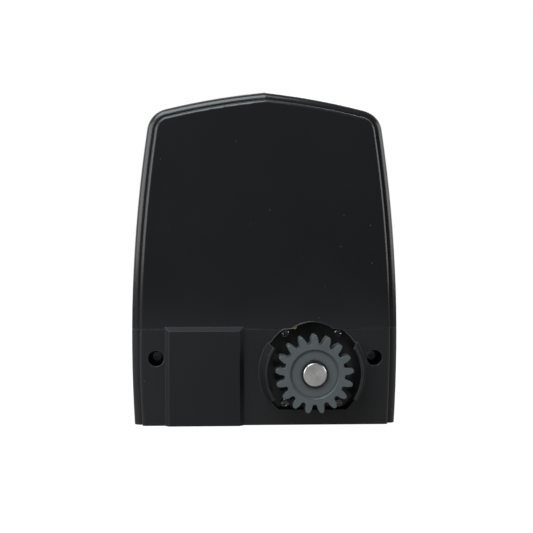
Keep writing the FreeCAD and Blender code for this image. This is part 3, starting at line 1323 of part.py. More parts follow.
def release_lever():
    pivot_x, pivot_y = d.shaft_x, d.lever_pivot
    body = new_body("LeverPlate")
    inner, outer = d.lever_face - d.lever_wall - pivot_y, d.lever_face - pivot_y
    left = d.lever_left - pivot_x
    along_z(body, d.lever_low, d.lever_high, lambda s: s.polygon(
        [(left, inner + 2), (left + 2, inner), (0, inner), (d.hub_radius + 2, inner),
         (d.hub_radius + 2, outer), (left, outer)]))
    dress(body, "Fillet", 1.5, lambda e: middle(e).y > number(outer) - 0.01)
    hub = cylinder("Z", 0, 0, d.hub_radius, d.lever_low, d.lever_high)
    arm = block(-d.hub_radius, d.hub_radius, 0, inner + 1, d.lever_low, d.lever_high)
    cam = new_body("Cam")
    mid = d.shaft_z
    along_z(cam, mid - d.cam_wall, mid + d.cam_wall, draw_cam)
    barrel_room = cylinder("Y", d.lock_x - pivot_x, mid, d.lock_barrel / 2 + 2.5,
                           d.lock_back + d.tongue_wall + d.fit_gap - pivot_y, inner + 1)
    joined = union(body, hub, arm, cam, barrel_room)
    pin = cylinder("Z", 0, 0, d.lever_pin / 2 + d.running_gap, d.lever_low - 1, d.lever_high + 1)
    bore = cylinder("Y", d.lock_x - pivot_x, mid, d.lock_barrel / 2 + d.running_gap,
                    d.lock_back - pivot_y, outer + 1)
    finish(move_to(less(joined, pin, bore), pivot_x, pivot_y), "release_lever")
    pin = cylinder("Z", pivot_x, pivot_y, d.lever_pin / 2, d.pocket_floor - d.pocket_wall + 1,
                   d.pocket_top + d.pocket_wall)
    finish(pin, "lever_pin")


def draw_cam(drawing):
    # A flat follower rides on it: the cam's support rises evenly from cam_low through a quarter turn.
    rise = d.clutch_travel / (math.pi / 2)

    def contact(turn):
        level = d.cam_low + rise * math.radians(turn)
        angle = turn - 90
        return (level * cosine(angle) - rise * sine(angle), level * sine(angle) + rise * cosine(angle))

    turns = (-25, 35, 100)
    arcs = []
    for start, end in zip(turns, turns[1:]):
        spots = [contact(turn) for turn in (start, (start + end) / 2, end)]
        index, near, far = drawing.arc(*spots, d.cam_low + rise * math.radians((start + end) / 2))
        drawing.fix(index, near, *spots[0])
        drawing.fix(index, far, *spots[2])
        arcs.append((index, near, far, spots[0], spots[2]))
    (first, first_near, _, low_spot, _), (last, _, last_far, _, high_spot) = arcs
    chain = [high_spot, (0, d.hub_radius - 1), (-1 * d.hub_radius + 1, 0), low_spot]
    at = [Vector(number(x), number(y), 0) for x, y in chain]
    lines = [drawing.add(Part.LineSegment(a, b)) for a, b in zip(at, at[1:])]
    drawing.rule("Coincident", last, last_far, lines[0], 1)
    for one, two, spot in zip(lines, lines[1:], chain[1:]):
        drawing.rule("Coincident", one, 2, two, 1)
        drawing.fix(one, 2, *spot)
    drawing.rule("Coincident", lines[-1], 2, first, first_near)


def lever_lock():
    x, z = d.lock_x, d.shaft_z
    back = d.lock_back + d.tongue_wall
    barrel = cylinder("Y", x, z, d.lock_barrel / 2, back - 0.5, d.lever_face + 0.2)
    key = block(x - 4.5, x + 4.5, d.lever_face - 6, d.lever_face + 1, z - 0.8, z + 0.8)
    finish(less(barrel, key), "lock_barrel")
    half = d.tongue_width / 2
    tongue = union(cylinder("Y", x, z, d.lock_barrel / 2, d.lock_back, back - 0.5 - 0.05),
                   block(x, x + d.tongue_reach, d.lock_back, back - 0.55, z - half, z + half))
    finish(tongue, "lock_tongue")


# ---------------------------------------------------------------- electrics

dimensions(
    ("trafo_left", -112, "transformer"),
    ("trafo_right", -58, "transformer"),
    ("trafo_rear", -56, "transformer"),
    ("trafo_front", -10, "transformer"),
    ("trafo_height", 48, "height of the transformer's core"),
    ("capacitor", 40, "diameter of the run capacitor"),
    ("capacitor_height", 92, "height of the run capacitor"),
    ("capacitor_x", -92, "run capacitor"),
    ("capacitor_y", 14, "run capacitor"),
    ("board_y", 62, "rear face of the control board"),
    ("board_wall", 1.6, "control board"),
    ("board_half", 92, "half the board's width"),
    ("board_low", 112, "bottom edge of the board"),
    ("board_high", 252, "top edge of the board"),
    ("carrier_wall", 2.5, "board carrier"),
    ("carrier_leg", 12, "legs of the board carrier"),
    ("standoff", 6, "board above its carrier"),
    ("sensor_depth", 8, "limit sensor"),
    ("bracket_wall", 2, "limit sensor's bracket"),
)


def electrics():
    low = d.floor_wall + d.fit_gap
    x0, x1, y0, y1 = d.trafo_left, d.trafo_right, d.trafo_rear, d.trafo_front
    third = (x1 - x0) / 6
    core = less(block(x0, x1, y0 + 8, y1 - 8, low, low + d.trafo_height),
                block(x0 + third, x0 + 2 * third, y0, y1, low + third, low + d.trafo_height - third),
                block(x1 - 2 * third, x1 - third, y0, y1, low + third, low + d.trafo_height - third))
    finish(core, "transformer_core")
    gap = d.press_gap * 2
    coil = less(block(x0 + third + gap, x1 - third - gap, y0, y1, low + third + gap,
                      low + d.trafo_height - third - gap),
                block(x0 + 2 * third - gap, x1 - 2 * third + gap, y0 + 8 - gap, y1 - 8 + gap, low,
                      low + d.trafo_height))
    finish(coil, "transformer_coil")
    x, y = d.capacitor_x, d.capacitor_y
    can = new_body("Can")
    along_z(can, low, low + d.capacitor_height, lambda s: s.circle(0, 0, d.capacitor / 2))
    dress(can, "Chamfer", 2, lambda e: not is_straight(e))
    tags = [block(x + side - 3, x + side + 3, y - 0.5, y + 0.5, low + d.capacitor_height - 1,
                  low + d.capacitor_height + 9) for side in (-8, 8)]
    finish(union(move_to(can, x, y), *tags), "run_capacitor")
    band = d.capacitor / 2 + d.press_gap
    ring = less(cylinder("Z", x, y, band + 2, low + 20, low + 40), cylinder("Z", x, y, band, low, low + 60))
    foot = block(x + band + 0.2, x + band + 2.2, y - 8, y + 8, low, low + 40)
    toe = block(x + band + 0.2, x + band + 16, y - 8, y + 8, low, low + 2)
    finish(union(ring, foot, toe), "capacitor_clamp")


def board_parts():
    low = d.floor_wall + d.fit_gap
    back = d.board_y - d.standoff
    half = d.board_half + 4
    plate = block(-1 * half, half, back - d.carrier_wall, back, d.board_low - 6, d.board_high + 4)
    window = block(-1 * half + 16, half - 16, back - d.carrier_wall - 1, back + 1, d.board_low + 20,
                   d.board_high - 22)
    legs, pads, holes, screws = [], [], [], []
    for hand in (-1, 1):
        x0, x1 = sorted((hand * half, hand * (half - d.carrier_leg)), key=number)
        legs.append(block(x0, x1, back - 14, back, low, d.board_low))
        x0, x1 = sorted((hand * half, hand * (half - 3)), key=number)
        legs.append(block(x0, x1, back - 14, back, d.board_low - 1, d.board_high + 4))
    for x in (-d.board_half + 6, d.board_half - 6):
        for z in (d.board_low + 6, d.board_high - 6):
            pads.append(cylinder("Y", x, z, 4.5, back - 0.5, d.board_y - d.press_gap))
            holes.append(cylinder("Y", x, z, 1.55, back - d.carrier_wall - 1, d.board_y + 5))
            head = cylinder("Y", x, z, 3, d.board_y + d.board_wall + 0.05, d.board_y + d.board_wall + 2.4)
            screws.append(union(head, cylinder("Y", x, z, 1.5, back + 0.5, d.board_y + d.board_wall + 1)))
    finish(less(union(less(plate, window), *legs, *pads), *holes), "board_carrier")
    front = d.board_y + d.board_wall
    board = block(-d.board_half, d.board_half, d.board_y, front, d.board_low, d.board_high)
    board_holes = [cylinder("Y", x, z, 1.6, d.board_y - 1, front + 1)
                   for x in (-d.board_half + 6, d.board_half - 6) for z in (d.board_low + 6, d.board_high - 6)]
    finish(less(board, *board_holes), "control_board")
    finish(together(*screws), "board_screws")
    face = front + 0.05
    relays = [block(x, x + 18, face, face + 15, 196, 218) for x in (-70, -46, -22, 2)]
    finish(together(*relays), "board_relays")
    strips = []
    for x, count in ((-80, 7), (-30, 5), (12, 9)):
        strip = block(x, x + count * 5.5, face, face + 10, d.board_low + 4, d.board_low + 14)
        wells = [cylinder("Y", x + 2.75 + 5.5 * i, d.board_low + 9, 1.8, face + 7, face + 11) for i in range(count)]
        strips.append(less(strip, *wells))
    finish(together(*strips), "terminal_blocks")
    holder = block(44, 70, face, face + 9, 172, 182)
    finish(less(holder, block(47, 67, face + 3.9, face + 10, 174.5, 179.5)), "fuse_holder")
    finish(cylinder("X", face + 6.4, 177, 2.3, 47.2, 66.8), "fuse")
    chips = [block(x, x + w, face, face + 3, z, z + v) for x, w, z, v in
             ((-20, 14, 160, 14), (-52, 20, 164, 8), (20, 9, 150, 6))]
    finish(together(*chips), "board_chips")
    base = less(block(76, 84, face, face + 4, 150, 158), cylinder("Y", 80, 154, 2.1, face + 1, face + 5))
    finish(base, "learn_button_base")
    finish(cylinder("Y", 80, 154, 1.95, face + 1.6, face + 6), "learn_button")


def limit_sensor():
    # It reads the gate's magnets through the cover; its bracket stands on the gearbox.
    x = d.shaft_x
    rear = -d.rear_face + 2 * d.casing_wall + 3
    front = rear + d.sensor_depth
    low = d.shaft_z + d.flange_radius + 3
    finish(block(x - 14, x + 14, rear, front, low + 1, low + 19), "limit_sensor")
    foot = d.shaft_z + d.chamber_bore + d.chamber_wall + d.fit_gap
    leg = d.flange_face + d.flange_wall + d.fit_gap
    wall = d.bracket_wall
    parts = [
        block(x - 14, x + 14, front + d.press_gap, front + wall, low, low + 20),
        block(x, x + 14, front + d.press_gap, leg + wall, low, low + wall),
        block(x, x + 14, leg, leg + wall, foot, low + wall),
        block(x, x + 14, leg, leg + 18, foot, foot + wall),
    ]
    finish(union(*parts), "sensor_bracket")


# ---------------------------------------------------------------- build and write

for make in (
    base_tray, top_cover, rear_access_panel, release_housing, casing_fasteners,
    gearbox_housing, gearbox_flange, gearbox_fasteners,
    output_shaft, output_pinion, clutch, worm_wheel, worm_shaft,
    motor, release_lever, lever_lock, electrics, board_parts, limit_sensor,
):
    make()
doc.recompute()

for item in doc.Objects:
    if "Invalid" in item.State or "Error" in item.State:
        raise RuntimeError(f"{item.Label} did not build: {item.State}")

os.makedirs("parts", exist_ok=True)
for item in nodes:
    if item.Shape.isNull() or not item.Shape.isValid():
        raise RuntimeError(f"{item.Label} has no valid shape")
    item.Shape.exportStep(f"parts/{item.Label}.step")
print(len(nodes), "sub-parts written")
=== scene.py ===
import json
import math

import bpy
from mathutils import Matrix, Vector

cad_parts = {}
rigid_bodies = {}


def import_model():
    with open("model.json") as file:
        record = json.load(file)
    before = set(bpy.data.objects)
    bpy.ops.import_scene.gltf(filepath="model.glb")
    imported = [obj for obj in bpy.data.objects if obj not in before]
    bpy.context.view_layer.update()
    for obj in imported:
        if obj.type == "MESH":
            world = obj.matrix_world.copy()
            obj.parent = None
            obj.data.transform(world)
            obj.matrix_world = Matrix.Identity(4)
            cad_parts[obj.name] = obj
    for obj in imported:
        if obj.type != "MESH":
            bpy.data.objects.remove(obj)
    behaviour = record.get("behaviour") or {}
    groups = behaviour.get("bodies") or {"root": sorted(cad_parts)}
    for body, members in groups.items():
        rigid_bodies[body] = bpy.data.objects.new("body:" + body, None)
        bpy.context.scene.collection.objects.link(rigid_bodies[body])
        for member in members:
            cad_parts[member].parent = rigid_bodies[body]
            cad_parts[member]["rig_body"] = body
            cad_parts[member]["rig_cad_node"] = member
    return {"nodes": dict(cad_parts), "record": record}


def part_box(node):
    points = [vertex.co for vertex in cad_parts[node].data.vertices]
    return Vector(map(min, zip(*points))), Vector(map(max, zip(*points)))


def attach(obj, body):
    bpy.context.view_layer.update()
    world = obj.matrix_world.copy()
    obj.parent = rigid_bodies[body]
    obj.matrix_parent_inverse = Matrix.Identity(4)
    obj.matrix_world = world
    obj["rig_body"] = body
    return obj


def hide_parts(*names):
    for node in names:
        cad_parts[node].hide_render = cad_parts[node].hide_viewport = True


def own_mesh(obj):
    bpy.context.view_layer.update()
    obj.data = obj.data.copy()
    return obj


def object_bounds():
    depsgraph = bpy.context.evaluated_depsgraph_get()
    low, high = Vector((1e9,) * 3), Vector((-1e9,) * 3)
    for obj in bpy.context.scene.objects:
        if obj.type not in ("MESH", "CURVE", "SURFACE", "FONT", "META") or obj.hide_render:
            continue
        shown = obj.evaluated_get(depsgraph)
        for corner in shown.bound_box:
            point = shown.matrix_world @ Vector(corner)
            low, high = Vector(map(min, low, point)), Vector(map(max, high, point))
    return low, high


# looks of a sliding gate motor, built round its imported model
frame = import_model()
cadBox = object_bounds()
nodes = frame["nodes"]
print("frame loaded:", len(nodes), "pieces")

weld = 0.000001                  # points nearer than this become one
smoothAngle = math.radians(40)   # sharper edges than this stay crisp


class Wire:  # one socket of a material, usable in plain sums
    def __init__(self, paint, socket):
        self.paint, self.socket = paint, socket

    def __add__(self, other): return self.paint.maths("ADD", self, other)
    def __radd__(self, other): return self.paint.maths("ADD", other, self)
    def __sub__(self, other): return self.paint.maths("SUBTRACT", self, other)
    def __rsub__(self, other): return self.paint.maths("SUBTRACT", other, self)
    def __mul__(self, other): return self.paint.maths("MULTIPLY", self, other)
    def __rmul__(self, other): return self.paint.maths("MULTIPLY", other, self)
    def __pow__(self, other): return self.paint.maths("POWER", self, other)


class Paint:  # one material, or the world's, while it is made
    inletNames = {
        "colour": "Base Color", "rough": "Roughness", "metal": "Metallic", "normal": "Normal",
        "coat": "Coat Weight", "coatRough": "Coat Roughness", "ior": "IOR",
        "gloss": "Specular IOR Level", "clear": "Transmission Weight",
    }

    def __init__(self, name, forWorld=False):
        kind, outlet = ("World", "Generated") if forWorld else ("Material", "Object")
        self.owner = (bpy.data.worlds if forWorld else bpy.data.materials).new(name)
        self.owner.use_nodes = True
        self.tree = self.owner.node_tree
        self.tree.nodes.clear()
        self.out = self.tree.nodes.new("ShaderNodeOutput" + kind)
        self.place = self.add("ShaderNodeTexCoord", outlet=outlet)

    def add(self, kind, settings=None, inlets=None, outlet=0):
        # makes a node: its settings first, then the values or links of its sockets
        node = self.tree.nodes.new(kind)
        for name, value in (settings or {}).items():
            setattr(node, name, value)
        for key, value in (inlets or {}).items():
            if isinstance(value, Wire):
                self.tree.links.new(value.socket, node.inputs[key])
            else:
                node.inputs[key].default_value = value
        return Wire(self, node.outputs[outlet])

    def maths(self, operation, *values):
        return self.add("ShaderNodeMath", {"operation": operation}, dict(enumerate(values)))

    def length(self, place):
        return self.add("ShaderNodeVectorMath", {"operation": "LENGTH"}, {0: place}, "Value")

    def moved(self, centre=(0, 0, 0), stretch=(1, 1, 1)):
        # the place, measured from centre and then stretched
        shifted = self.add("ShaderNodeMapping", {"vector_type": "POINT"}, {
            "Vector": self.place, "Location": [-c for c in centre]})
        return self.add("ShaderNodeMapping", {"vector_type": "POINT"}, {
            "Vector": shifted, "Scale": stretch})

    def axis(self, letter, place=None):
        return self.add("ShaderNodeSeparateXYZ", {}, {0: place or self.place}, letter)

    def noise(self, scale, detail, rough, place=None):
        inlets = {"Vector": place or self.place, "Scale": scale, "Detail": detail, "Roughness": rough}
        return self.add("ShaderNodeTexNoise", {}, inlets, "Fac")

    def cells(self, scale):  # distance from the middle of each cell
        inlets = {"Vector": self.place, "Scale": scale}
        return self.add("ShaderNodeTexVoronoi", {}, inlets, "Distance")

    def span(self, value, low, high, first=0.0, last=1.0):  # smooth step from low to high
        return self.add("ShaderNodeMapRange", {"interpolation_type": "SMOOTHSTEP", "clamp": True}, {
            "Value": value, "From Min": low, "From Max": high, "To Min": first, "To Max": last})

    def fade(self, value, low, high):  # the other way: 1 up to low, 0 past high
        return self.span(value, low, high, 1, 0)

    def tint(self, share, first, last):
        def colour(item):
            return item if isinstance(item, Wire) else (*item, 1)
        return self.add("ShaderNodeMix", {"data_type": "RGBA", "clamp_factor": True}, {
            0: share, 6: colour(first), 7: colour(last)}, 2)

    def soften(self, radius):  # rounds sharp edges in the shading
        return self.add("ShaderNodeBevel", {"samples": 6}, {"Radius": radius})

    def edges(self, radius, sharp=0.22, blunt=0.02):  # 1 on sharp edges, 0 on open faces
        around = self.soften(radius)
        plain = self.add("ShaderNodeNewGeometry", outlet="Normal")
        agree = self.add("ShaderNodeVectorMath", {"operation": "DOT_PRODUCT"},
                         {0: around, 1: plain}, "Value")
        return self.span(1 - agree, blunt, sharp)

    def rays(self):  # camera rays, reflections, and what is seen through glass
        return [self.add("ShaderNodeLightPath", outlet=name)
                for name in ("Is Camera Ray", "Is Glossy Ray", "Is Transmission Ray")]

    def bump(self, height, depth, strength, under=None):
        inlets = {"Height": height, "Distance": depth, "Strength": strength}
        if under:
            inlets["Normal"] = under
        return self.add("ShaderNodeBump", {}, inlets)

    def finish(self, shader):
        self.tree.links.new(shader.socket, self.out.inputs["Surface"])
        return self.owner

    def surface(self, **inlets):
        named = {self.inletNames[key]: value for key, value in inlets.items()}
        return self.finish(self.add("ShaderNodeBsdfPrincipled", {}, named))


def shade(colour, times, plus=0.0):  # the same colour, darker or paler
    return [c * times + plus for c in colour]


# a noise is given as scale, detail and roughness, a bump as depth and strength
moulding = {
    "skin": (2400, 3, 0.6),            # spark texture
    "skinStrength": 0.6,
    "cloud": (9, 3, 0.55),
    "streak": (60, 4, 0.6),            # flow marks, drawn out in height
    "streakStretch": (1, 1, 0.08),
    "tones": (0.86, 1.16),
    # the edges carry a painted highlight, paler than the face
    "edgeRadius": 0.0016,
    "edgeSharp": 0.10,
    "edgeTone": (2.2, 0.025),
    "jointLips": (0.0015, 0.0045),     # above and below the joint, where the painted edge highlight is left out
    "dustScale": 90,
    "dustSize": (0.024, 0.032),
    "dustShare": 0.8,
    "dustColour": (0.26, 0.27, 0.28),
    "cloudRough": 0.10,
    "streakRough": 0.05,
    "edgeRough": 0.05,
    "rounding": 0.0012,
}


def moulded(name, colour, rough, gloss, grain=0.000012, edgeHighlight=0.9, joint=None):
    # spark-textured plastic moulding with faint flow marks, specks of dust and a painted highlight on
    # its sharp edges
    look = moulding
    paint = Paint(name)
    skin = paint.noise(*look["skin"])
    cloud = paint.noise(*look["cloud"])
    streak = paint.noise(*look["streak"], paint.moved(stretch=look["streakStretch"]))
    edge = paint.edges(look["edgeRadius"], look["edgeSharp"])
    if joint:  # height of the joint with another moulding
        away = paint.maths("ABSOLUTE", paint.axis("Z") - joint)
        edge = edge * paint.span(away, *look["jointLips"])
    tone = paint.tint(cloud, *(shade(colour, times) for times in look["tones"]))
    dust = paint.fade(paint.cells(look["dustScale"]), *look["dustSize"])
    # painted highlight: sharp edges made paler
    tone = paint.tint(edge * edgeHighlight, tone, shade(colour, *look["edgeTone"]))
    tone = paint.tint(dust * look["dustShare"], tone, look["dustColour"])
    roughness = (rough + (cloud - 0.5) * look["cloudRough"] + (streak - 0.5) * look["streakRough"]
                 - edge * look["edgeRough"])
    normal = paint.bump(skin, grain, look["skinStrength"], paint.soften(look["rounding"]))
    return paint.surface(colour=tone, rough=roughness, gloss=gloss, normal=normal)


casting = {
    "peel": (700, 4, 0.6),
    "peelBump": (0.00004, 0.7),
    "cloud": (25, 3, 0.5),
    "tones": (0.8, 1.1),
    "edgeRadius": 0.0010,
    "edgeShare": 0.5,
    "edgeTone": 1.4,
    "metal": 0.9,
    "rough": 0.45,
    "cloudRough": 0.14,
    "edgeRough": 0.1,
    "rounding": 0.0005,
}


def cast(name, colour):
    # die cast metal: fine orange peel, dull skin, brighter edges
    look = casting
    paint = Paint(name)
    peel = paint.noise(*look["peel"])
    cloud = paint.noise(*look["cloud"])
    edge = paint.edges(look["edgeRadius"])
    tone = paint.tint(cloud, *(shade(colour, times) for times in look["tones"]))
    tone = paint.tint(edge * look["edgeShare"], tone, shade(colour, look["edgeTone"]))
    roughness = look["rough"] + (cloud - 0.5) * look["cloudRough"] - edge * look["edgeRough"]
    normal = paint.bump(peel, *look["peelBump"], paint.soften(look["rounding"]))
    return paint.surface(colour=tone, metal=look["metal"], rough=roughness, normal=normal)


grinding = {
    "lines": (1500, 3, 0.6),
    "lineBump": (0.000006, 0.6),
    "lineTones": (0.82, 1.12),
    "cloud": (60, 3, 0.5),
    "cloudShare": 0.35,
    "cloudTone": 0.6,
    "edgeRadius": 0.0005,
    "rubbedRadius": 0.0010,
    "rubbedSharp": 0.12,
    "rubbedColour": (0.85, 0.85, 0.84),
    "lineRough": 0.12,
    "cloudRough": 0.1,
    "edgeRough": 0.05,
}


def ground(name, colour, rough, metal=1.0, grain=(1, 1, 1), soft=0.0003, worn=0.0):
    # machined metal with fine lines along one direction
    look = grinding
    paint = Paint(name)
    lines = paint.noise(*look["lines"], paint.moved(stretch=grain))
    cloud = paint.noise(*look["cloud"])
    edge = paint.edges(look["edgeRadius"])
    tone = paint.tint(lines, *(shade(colour, times) for times in look["lineTones"]))
    tone = paint.tint(cloud * look["cloudShare"], tone, shade(colour, look["cloudTone"]))
    if worn:  # bright where the finish is rubbed off the edges
        rubbed = paint.edges(look["rubbedRadius"], look["rubbedSharp"])
        tone = paint.tint(rubbed * worn, tone, look["rubbedColour"])
    roughness = (rough + (lines - 0.5) * look["lineRough"] + (cloud - 0.5) * look["cloudRough"]
                 - edge * look["edgeRough"])
    normal = paint.bump(lines, *look["lineBump"], paint.soften(soft))
    return paint.surface(colour=tone, metal=metal, rough=roughness, normal=normal)


turning = {
    "ringPitch": 0.00045,              # rings on the end
    "ringShare": 0.5,
    "wobble": (240, 2, 0.5),
    "wobbleShift": 0.0004,
    "lines": (900, 3, 0.6),            # lines round the sides
    "lineStretch": (0.02, 1, 0.02),
    "sheenTurn": 0.6,                    # painted sheen, fanning out from the middle of the end
    "sheenShare": 0.5,
    "wobbleShare": 0.3,
    "tones": (0.72, 1.15),
    "stain": (130, 4, 0.6),
    "stainSpan": (0.5, 0.72),
    "stainShare": 0.35,
    "stainTone": (0.62, 0.56, 0.5),
    "metal": 1.0,
    "rough": 0.3,
    "lineRough": 0.14,
    "stainRough": 0.12,
    "bump": (0.000010, 0.5),
    "rounding": 0.0003,
}


def turned(name, colour, centre):
    # a lathe-turned part: rings round the shaft's axis on its end, lines round it on its sides, and a
    # painted sheen fanning across the end
    look = turning
    paint = Paint(name)
    place = paint.moved(centre)
    x, z = paint.axis("X", place), paint.axis("Z", place)
    radius = (x * x + z * z) ** 0.5
    wobble = paint.noise(*look["wobble"], place)
    wandered = radius + wobble * look["wobbleShift"]
    rings = paint.maths("SINE", wandered * (2 * math.pi / look["ringPitch"]))
    lines = paint.noise(*look["lines"], paint.moved(centre, look["lineStretch"]))
    paintedSheen = paint.maths("SINE", paint.maths("ARCTAN2", z, x) * 2 + look["sheenTurn"]) * 0.5 + 0.5
    stain = paint.span(paint.noise(*look["stain"], place), *look["stainSpan"])
    # painted sheen fanning over the end, mixed with a random wobble of tone
    tone = paint.tint(paintedSheen * look["sheenShare"] + wobble * look["wobbleShare"],
                      *(shade(colour, times) for times in look["tones"]))
    stained = [c * times for c, times in zip(colour, look["stainTone"])]
    tone = paint.tint(stain * look["stainShare"], tone, stained)
    roughness = look["rough"] + (lines - 0.5) * look["lineRough"] + stain * look["stainRough"]
    height = rings * look["ringShare"] + lines
    normal = paint.bump(height, *look["bump"], paint.soften(look["rounding"]))
    return paint.surface(colour=tone, metal=look["metal"], rough=roughness, normal=normal)


phosphate = {
    "grit": (2600, 4, 0.65),
    "gritBump": (0.00003, 0.6),
    "cloud": (70, 4, 0.6),
    "tones": (0.80, 1.20),
    "poreScale": 1500,
    "poreSize": (0.0, 0.25),
    "poreShare": 0.25,
    "poreTone": 0.55,
    "edgeRadius": 0.0007,
    "edgeShare": 0.45,
    "edgeTone": 1.7,
    "hub": (0.0125, 0.0185),           # darker up to this radius: painted shade round the shaft
    "hubWander": 0.002,
    "hubShare": 0.35,
    "hubTone": 0.55,
    "shaftCreaseShade": (0.0124, 0.0140),       # painted shade in the crease round the shaft's end
    "rimWander": 0.0015,
    "rimShare": 0.8,
    "rimTone": 0.20,
    "grooveInner": (0.0206, 0.0222),   # painted shade: a dark ring in the recess of the face
    "grooveOuter": (0.0238, 0.0252),
    "grooveShare": 0.55,
    "grooveTone": 0.42,
    "smearFrom": (0.0075, -0.02, -0.0150),   # grease, measured from the shaft's middle
    "smearStretch": (1.0, 0.1, 1.5),
    "smearSize": (0.0015, 0.0052),
    "smearNoise": (300, 3, 0.6),
    "smearWander": 0.004,
    "smearShare": 0.75,
    "smearColour": (0.19, 0.095, 0.08),
    "metal": 0.45,
    "rough": 0.52,
    "gritRough": 0.12,
    "rubbedRough": 0.12,
    "rounding": 0.0005,
}


def phosphated(name, colour, centre):
    # grey phosphate on the steel pinion, rubbed on the teeth, with a grease smear round the shaft, and
    # painted shade round the shaft and in the recess of its face
    look = phosphate
    paint = Paint(name)
    place = paint.moved(centre)
    x, z = paint.axis("X", place), paint.axis("Z", place)
    radius = (x * x + z * z) ** 0.5
    grit = paint.noise(*look["grit"])
    cloud = paint.noise(*look["cloud"])
    pores = paint.fade(paint.cells(look["poreScale"]), *look["poreSize"])
    edge = paint.edges(look["edgeRadius"])
    smearMiddle = [c + away for c, away in zip(centre, look["smearFrom"])]
    smearReach = paint.length(paint.moved(smearMiddle, look["smearStretch"]))
    wander = (paint.noise(*look["smearNoise"]) - 0.5) * look["smearWander"]
    smear = paint.fade(smearReach + wander, *look["smearSize"])
    hub = paint.fade(radius + (cloud - 0.5) * look["hubWander"], *look["hub"])
    shaftCreaseShade = paint.fade(radius + (cloud - 0.5) * look["rimWander"], *look["shaftCreaseShade"])
    grooveShade = paint.span(radius, *look["grooveInner"]) * paint.fade(radius, *look["grooveOuter"])
    tone = paint.tint(cloud, *(shade(colour, times) for times in look["tones"]))
    tone = paint.tint(pores * look["poreShare"], tone, shade(colour, look["poreTone"]))
    tone = paint.tint(edge * look["edgeShare"], tone, shade(colour, look["edgeTone"]))
    # painted shade round the shaft: broad, then dark in the crease at the shaft's end
    tone = paint.tint(hub * look["hubShare"], tone, shade(colour, look["hubTone"]))
    tone = paint.tint(shaftCreaseShade * look["rimShare"], tone, shade(colour, look["rimTone"]))
    # painted shade in the recess of the face
    tone = paint.tint(grooveShade * look["grooveShare"], tone, shade(colour, look["grooveTone"]))
    tone = paint.tint(smear * look["smearShare"], tone, look["smearColour"])
    roughness = (look["rough"] + (grit - 0.5) * look["gritRough"] - edge * look["rubbedRough"]
                 - hub * look["rubbedRough"])
    normal = paint.bump(grit + cloud, *look["gritBump"], paint.soften(look["rounding"]))
    return paint.surface(colour=tone, metal=look["metal"], rough=roughness, normal=normal)


stoving = {
    "peel": (520, 2, 0.5),
    "peelBump": (0.00001, 0.5),
    "dustScale": 900,
    "dustSize": (0.0, 0.12),
    "cloud": (40, 3, 0.5),
    "tones": (0.8, 1.3),
    "edgeRadius": 0.0006,
    "dustShare": 0.2,
    "edgeShare": 0.3,
    "paleTone": (2.5, 0.02),
    "rough": 0.14,
    "cloudRough": 0.1,
    "dustRough": 0.1,
    "gloss": 0.16,
    "rounding": 0.0008,
}


def painted(name, colour):
    # stoved black paint with orange peel and dust
    look = stoving
    paint = Paint(name)
    peel = paint.noise(*look["peel"])
    dust = paint.fade(paint.cells(look["dustScale"]), *look["dustSize"])
    cloud = paint.noise(*look["cloud"])
    edge = paint.edges(look["edgeRadius"])
    tone = paint.tint(cloud, *(shade(colour, times) for times in look["tones"]))
    pale = dust * look["dustShare"] + edge * look["edgeShare"]
    tone = paint.tint(pale, tone, shade(colour, *look["paleTone"]))
    roughness = look["rough"] + (cloud - 0.5) * look["cloudRough"] + dust * look["dustRough"]
    normal = paint.bump(peel, *look["peelBump"], paint.soften(look["rounding"]))
    return paint.surface(colour=tone, rough=roughness, gloss=look["gloss"], normal=normal)


rubber = {
    "skin": (1300, 3, 0.6),
    "skinBump": (0.00003, 0.6),
    "bloom": (90, 4, 0.6),
    "bloomSpan": (0.45, 0.75),
    "bloomShare": 0.5,
    "bloomTone": (1.5, 0.01),
    "rough": 0.62,
    "skinRough": 0.15,
    "gloss": 0.3,
    "rounding": 0.0004,
}


def rubbery(name, colour):
    # dull rubber with a faint grey bloom
    look = rubber
    paint = Paint(name)
    skin = paint.noise(*look["skin"])
    bloom = paint.span(paint.noise(*look["bloom"]), *look["bloomSpan"])
    tone = paint.tint(bloom * look["bloomShare"], colour, shade(colour, *look["bloomTone"]))
    roughness = look["rough"] + (skin - 0.5) * look["skinRough"]
    normal = paint.bump(skin, *look["skinBump"], paint.soften(look["rounding"]))
    return paint.surface(colour=tone, rough=roughness, gloss=look["gloss"], normal=normal)


stack = {
    "pitch": 0.0005,                   # one sheet
    "sheetBump": (0.00006, 0.8),
    "jointTone": 0.55,
    "rust": (70, 4, 0.65),
    "rustSpan": (0.5, 0.75),
    "rustShare": 0.35,
    "rustColour": (0.20, 0.10, 0.05),
    "metal": 0.8,
    "rough": 0.45,
    "rustRough": 0.2,
    "rounding": 0.0003,
}


def laminated(name, colour):
    # stacked steel sheets: fine dark joints one above the other
    look = stack
    paint = Paint(name)
    level = paint.axis("Z") * (2 * math.pi / look["pitch"])
    sheets = paint.maths("SINE", level) * 0.5 + 0.5
    rust = paint.span(paint.noise(*look["rust"]), *look["rustSpan"])
    tone = paint.tint(sheets, shade(colour, look["jointTone"]), colour)
    tone = paint.tint(rust * look["rustShare"], tone, look["rustColour"])
    roughness = look["rough"] + rust * look["rustRough"]
    normal = paint.bump(sheets, *look["sheetBump"], paint.soften(look["rounding"]))
    return paint.surface(colour=tone, metal=look["metal"], rough=roughness, normal=normal)


winding = {
    "pitch": 0.0009,                   # one turn of wire
    "turnBump": (0.00025, 0.9),
    "gapTone": 0.35,
    "wobble": (180, 2, 0.5),
    "wobbleShift": 0.0006,
    "wobbleShare": 0.4,
    "wobbleTone": 0.7,
    "metal": 0.6,
    "rough": 0.30,
    "wobbleRough": 0.1,
    "enamel": 0.5,
    "enamelRough": 0.15,
}


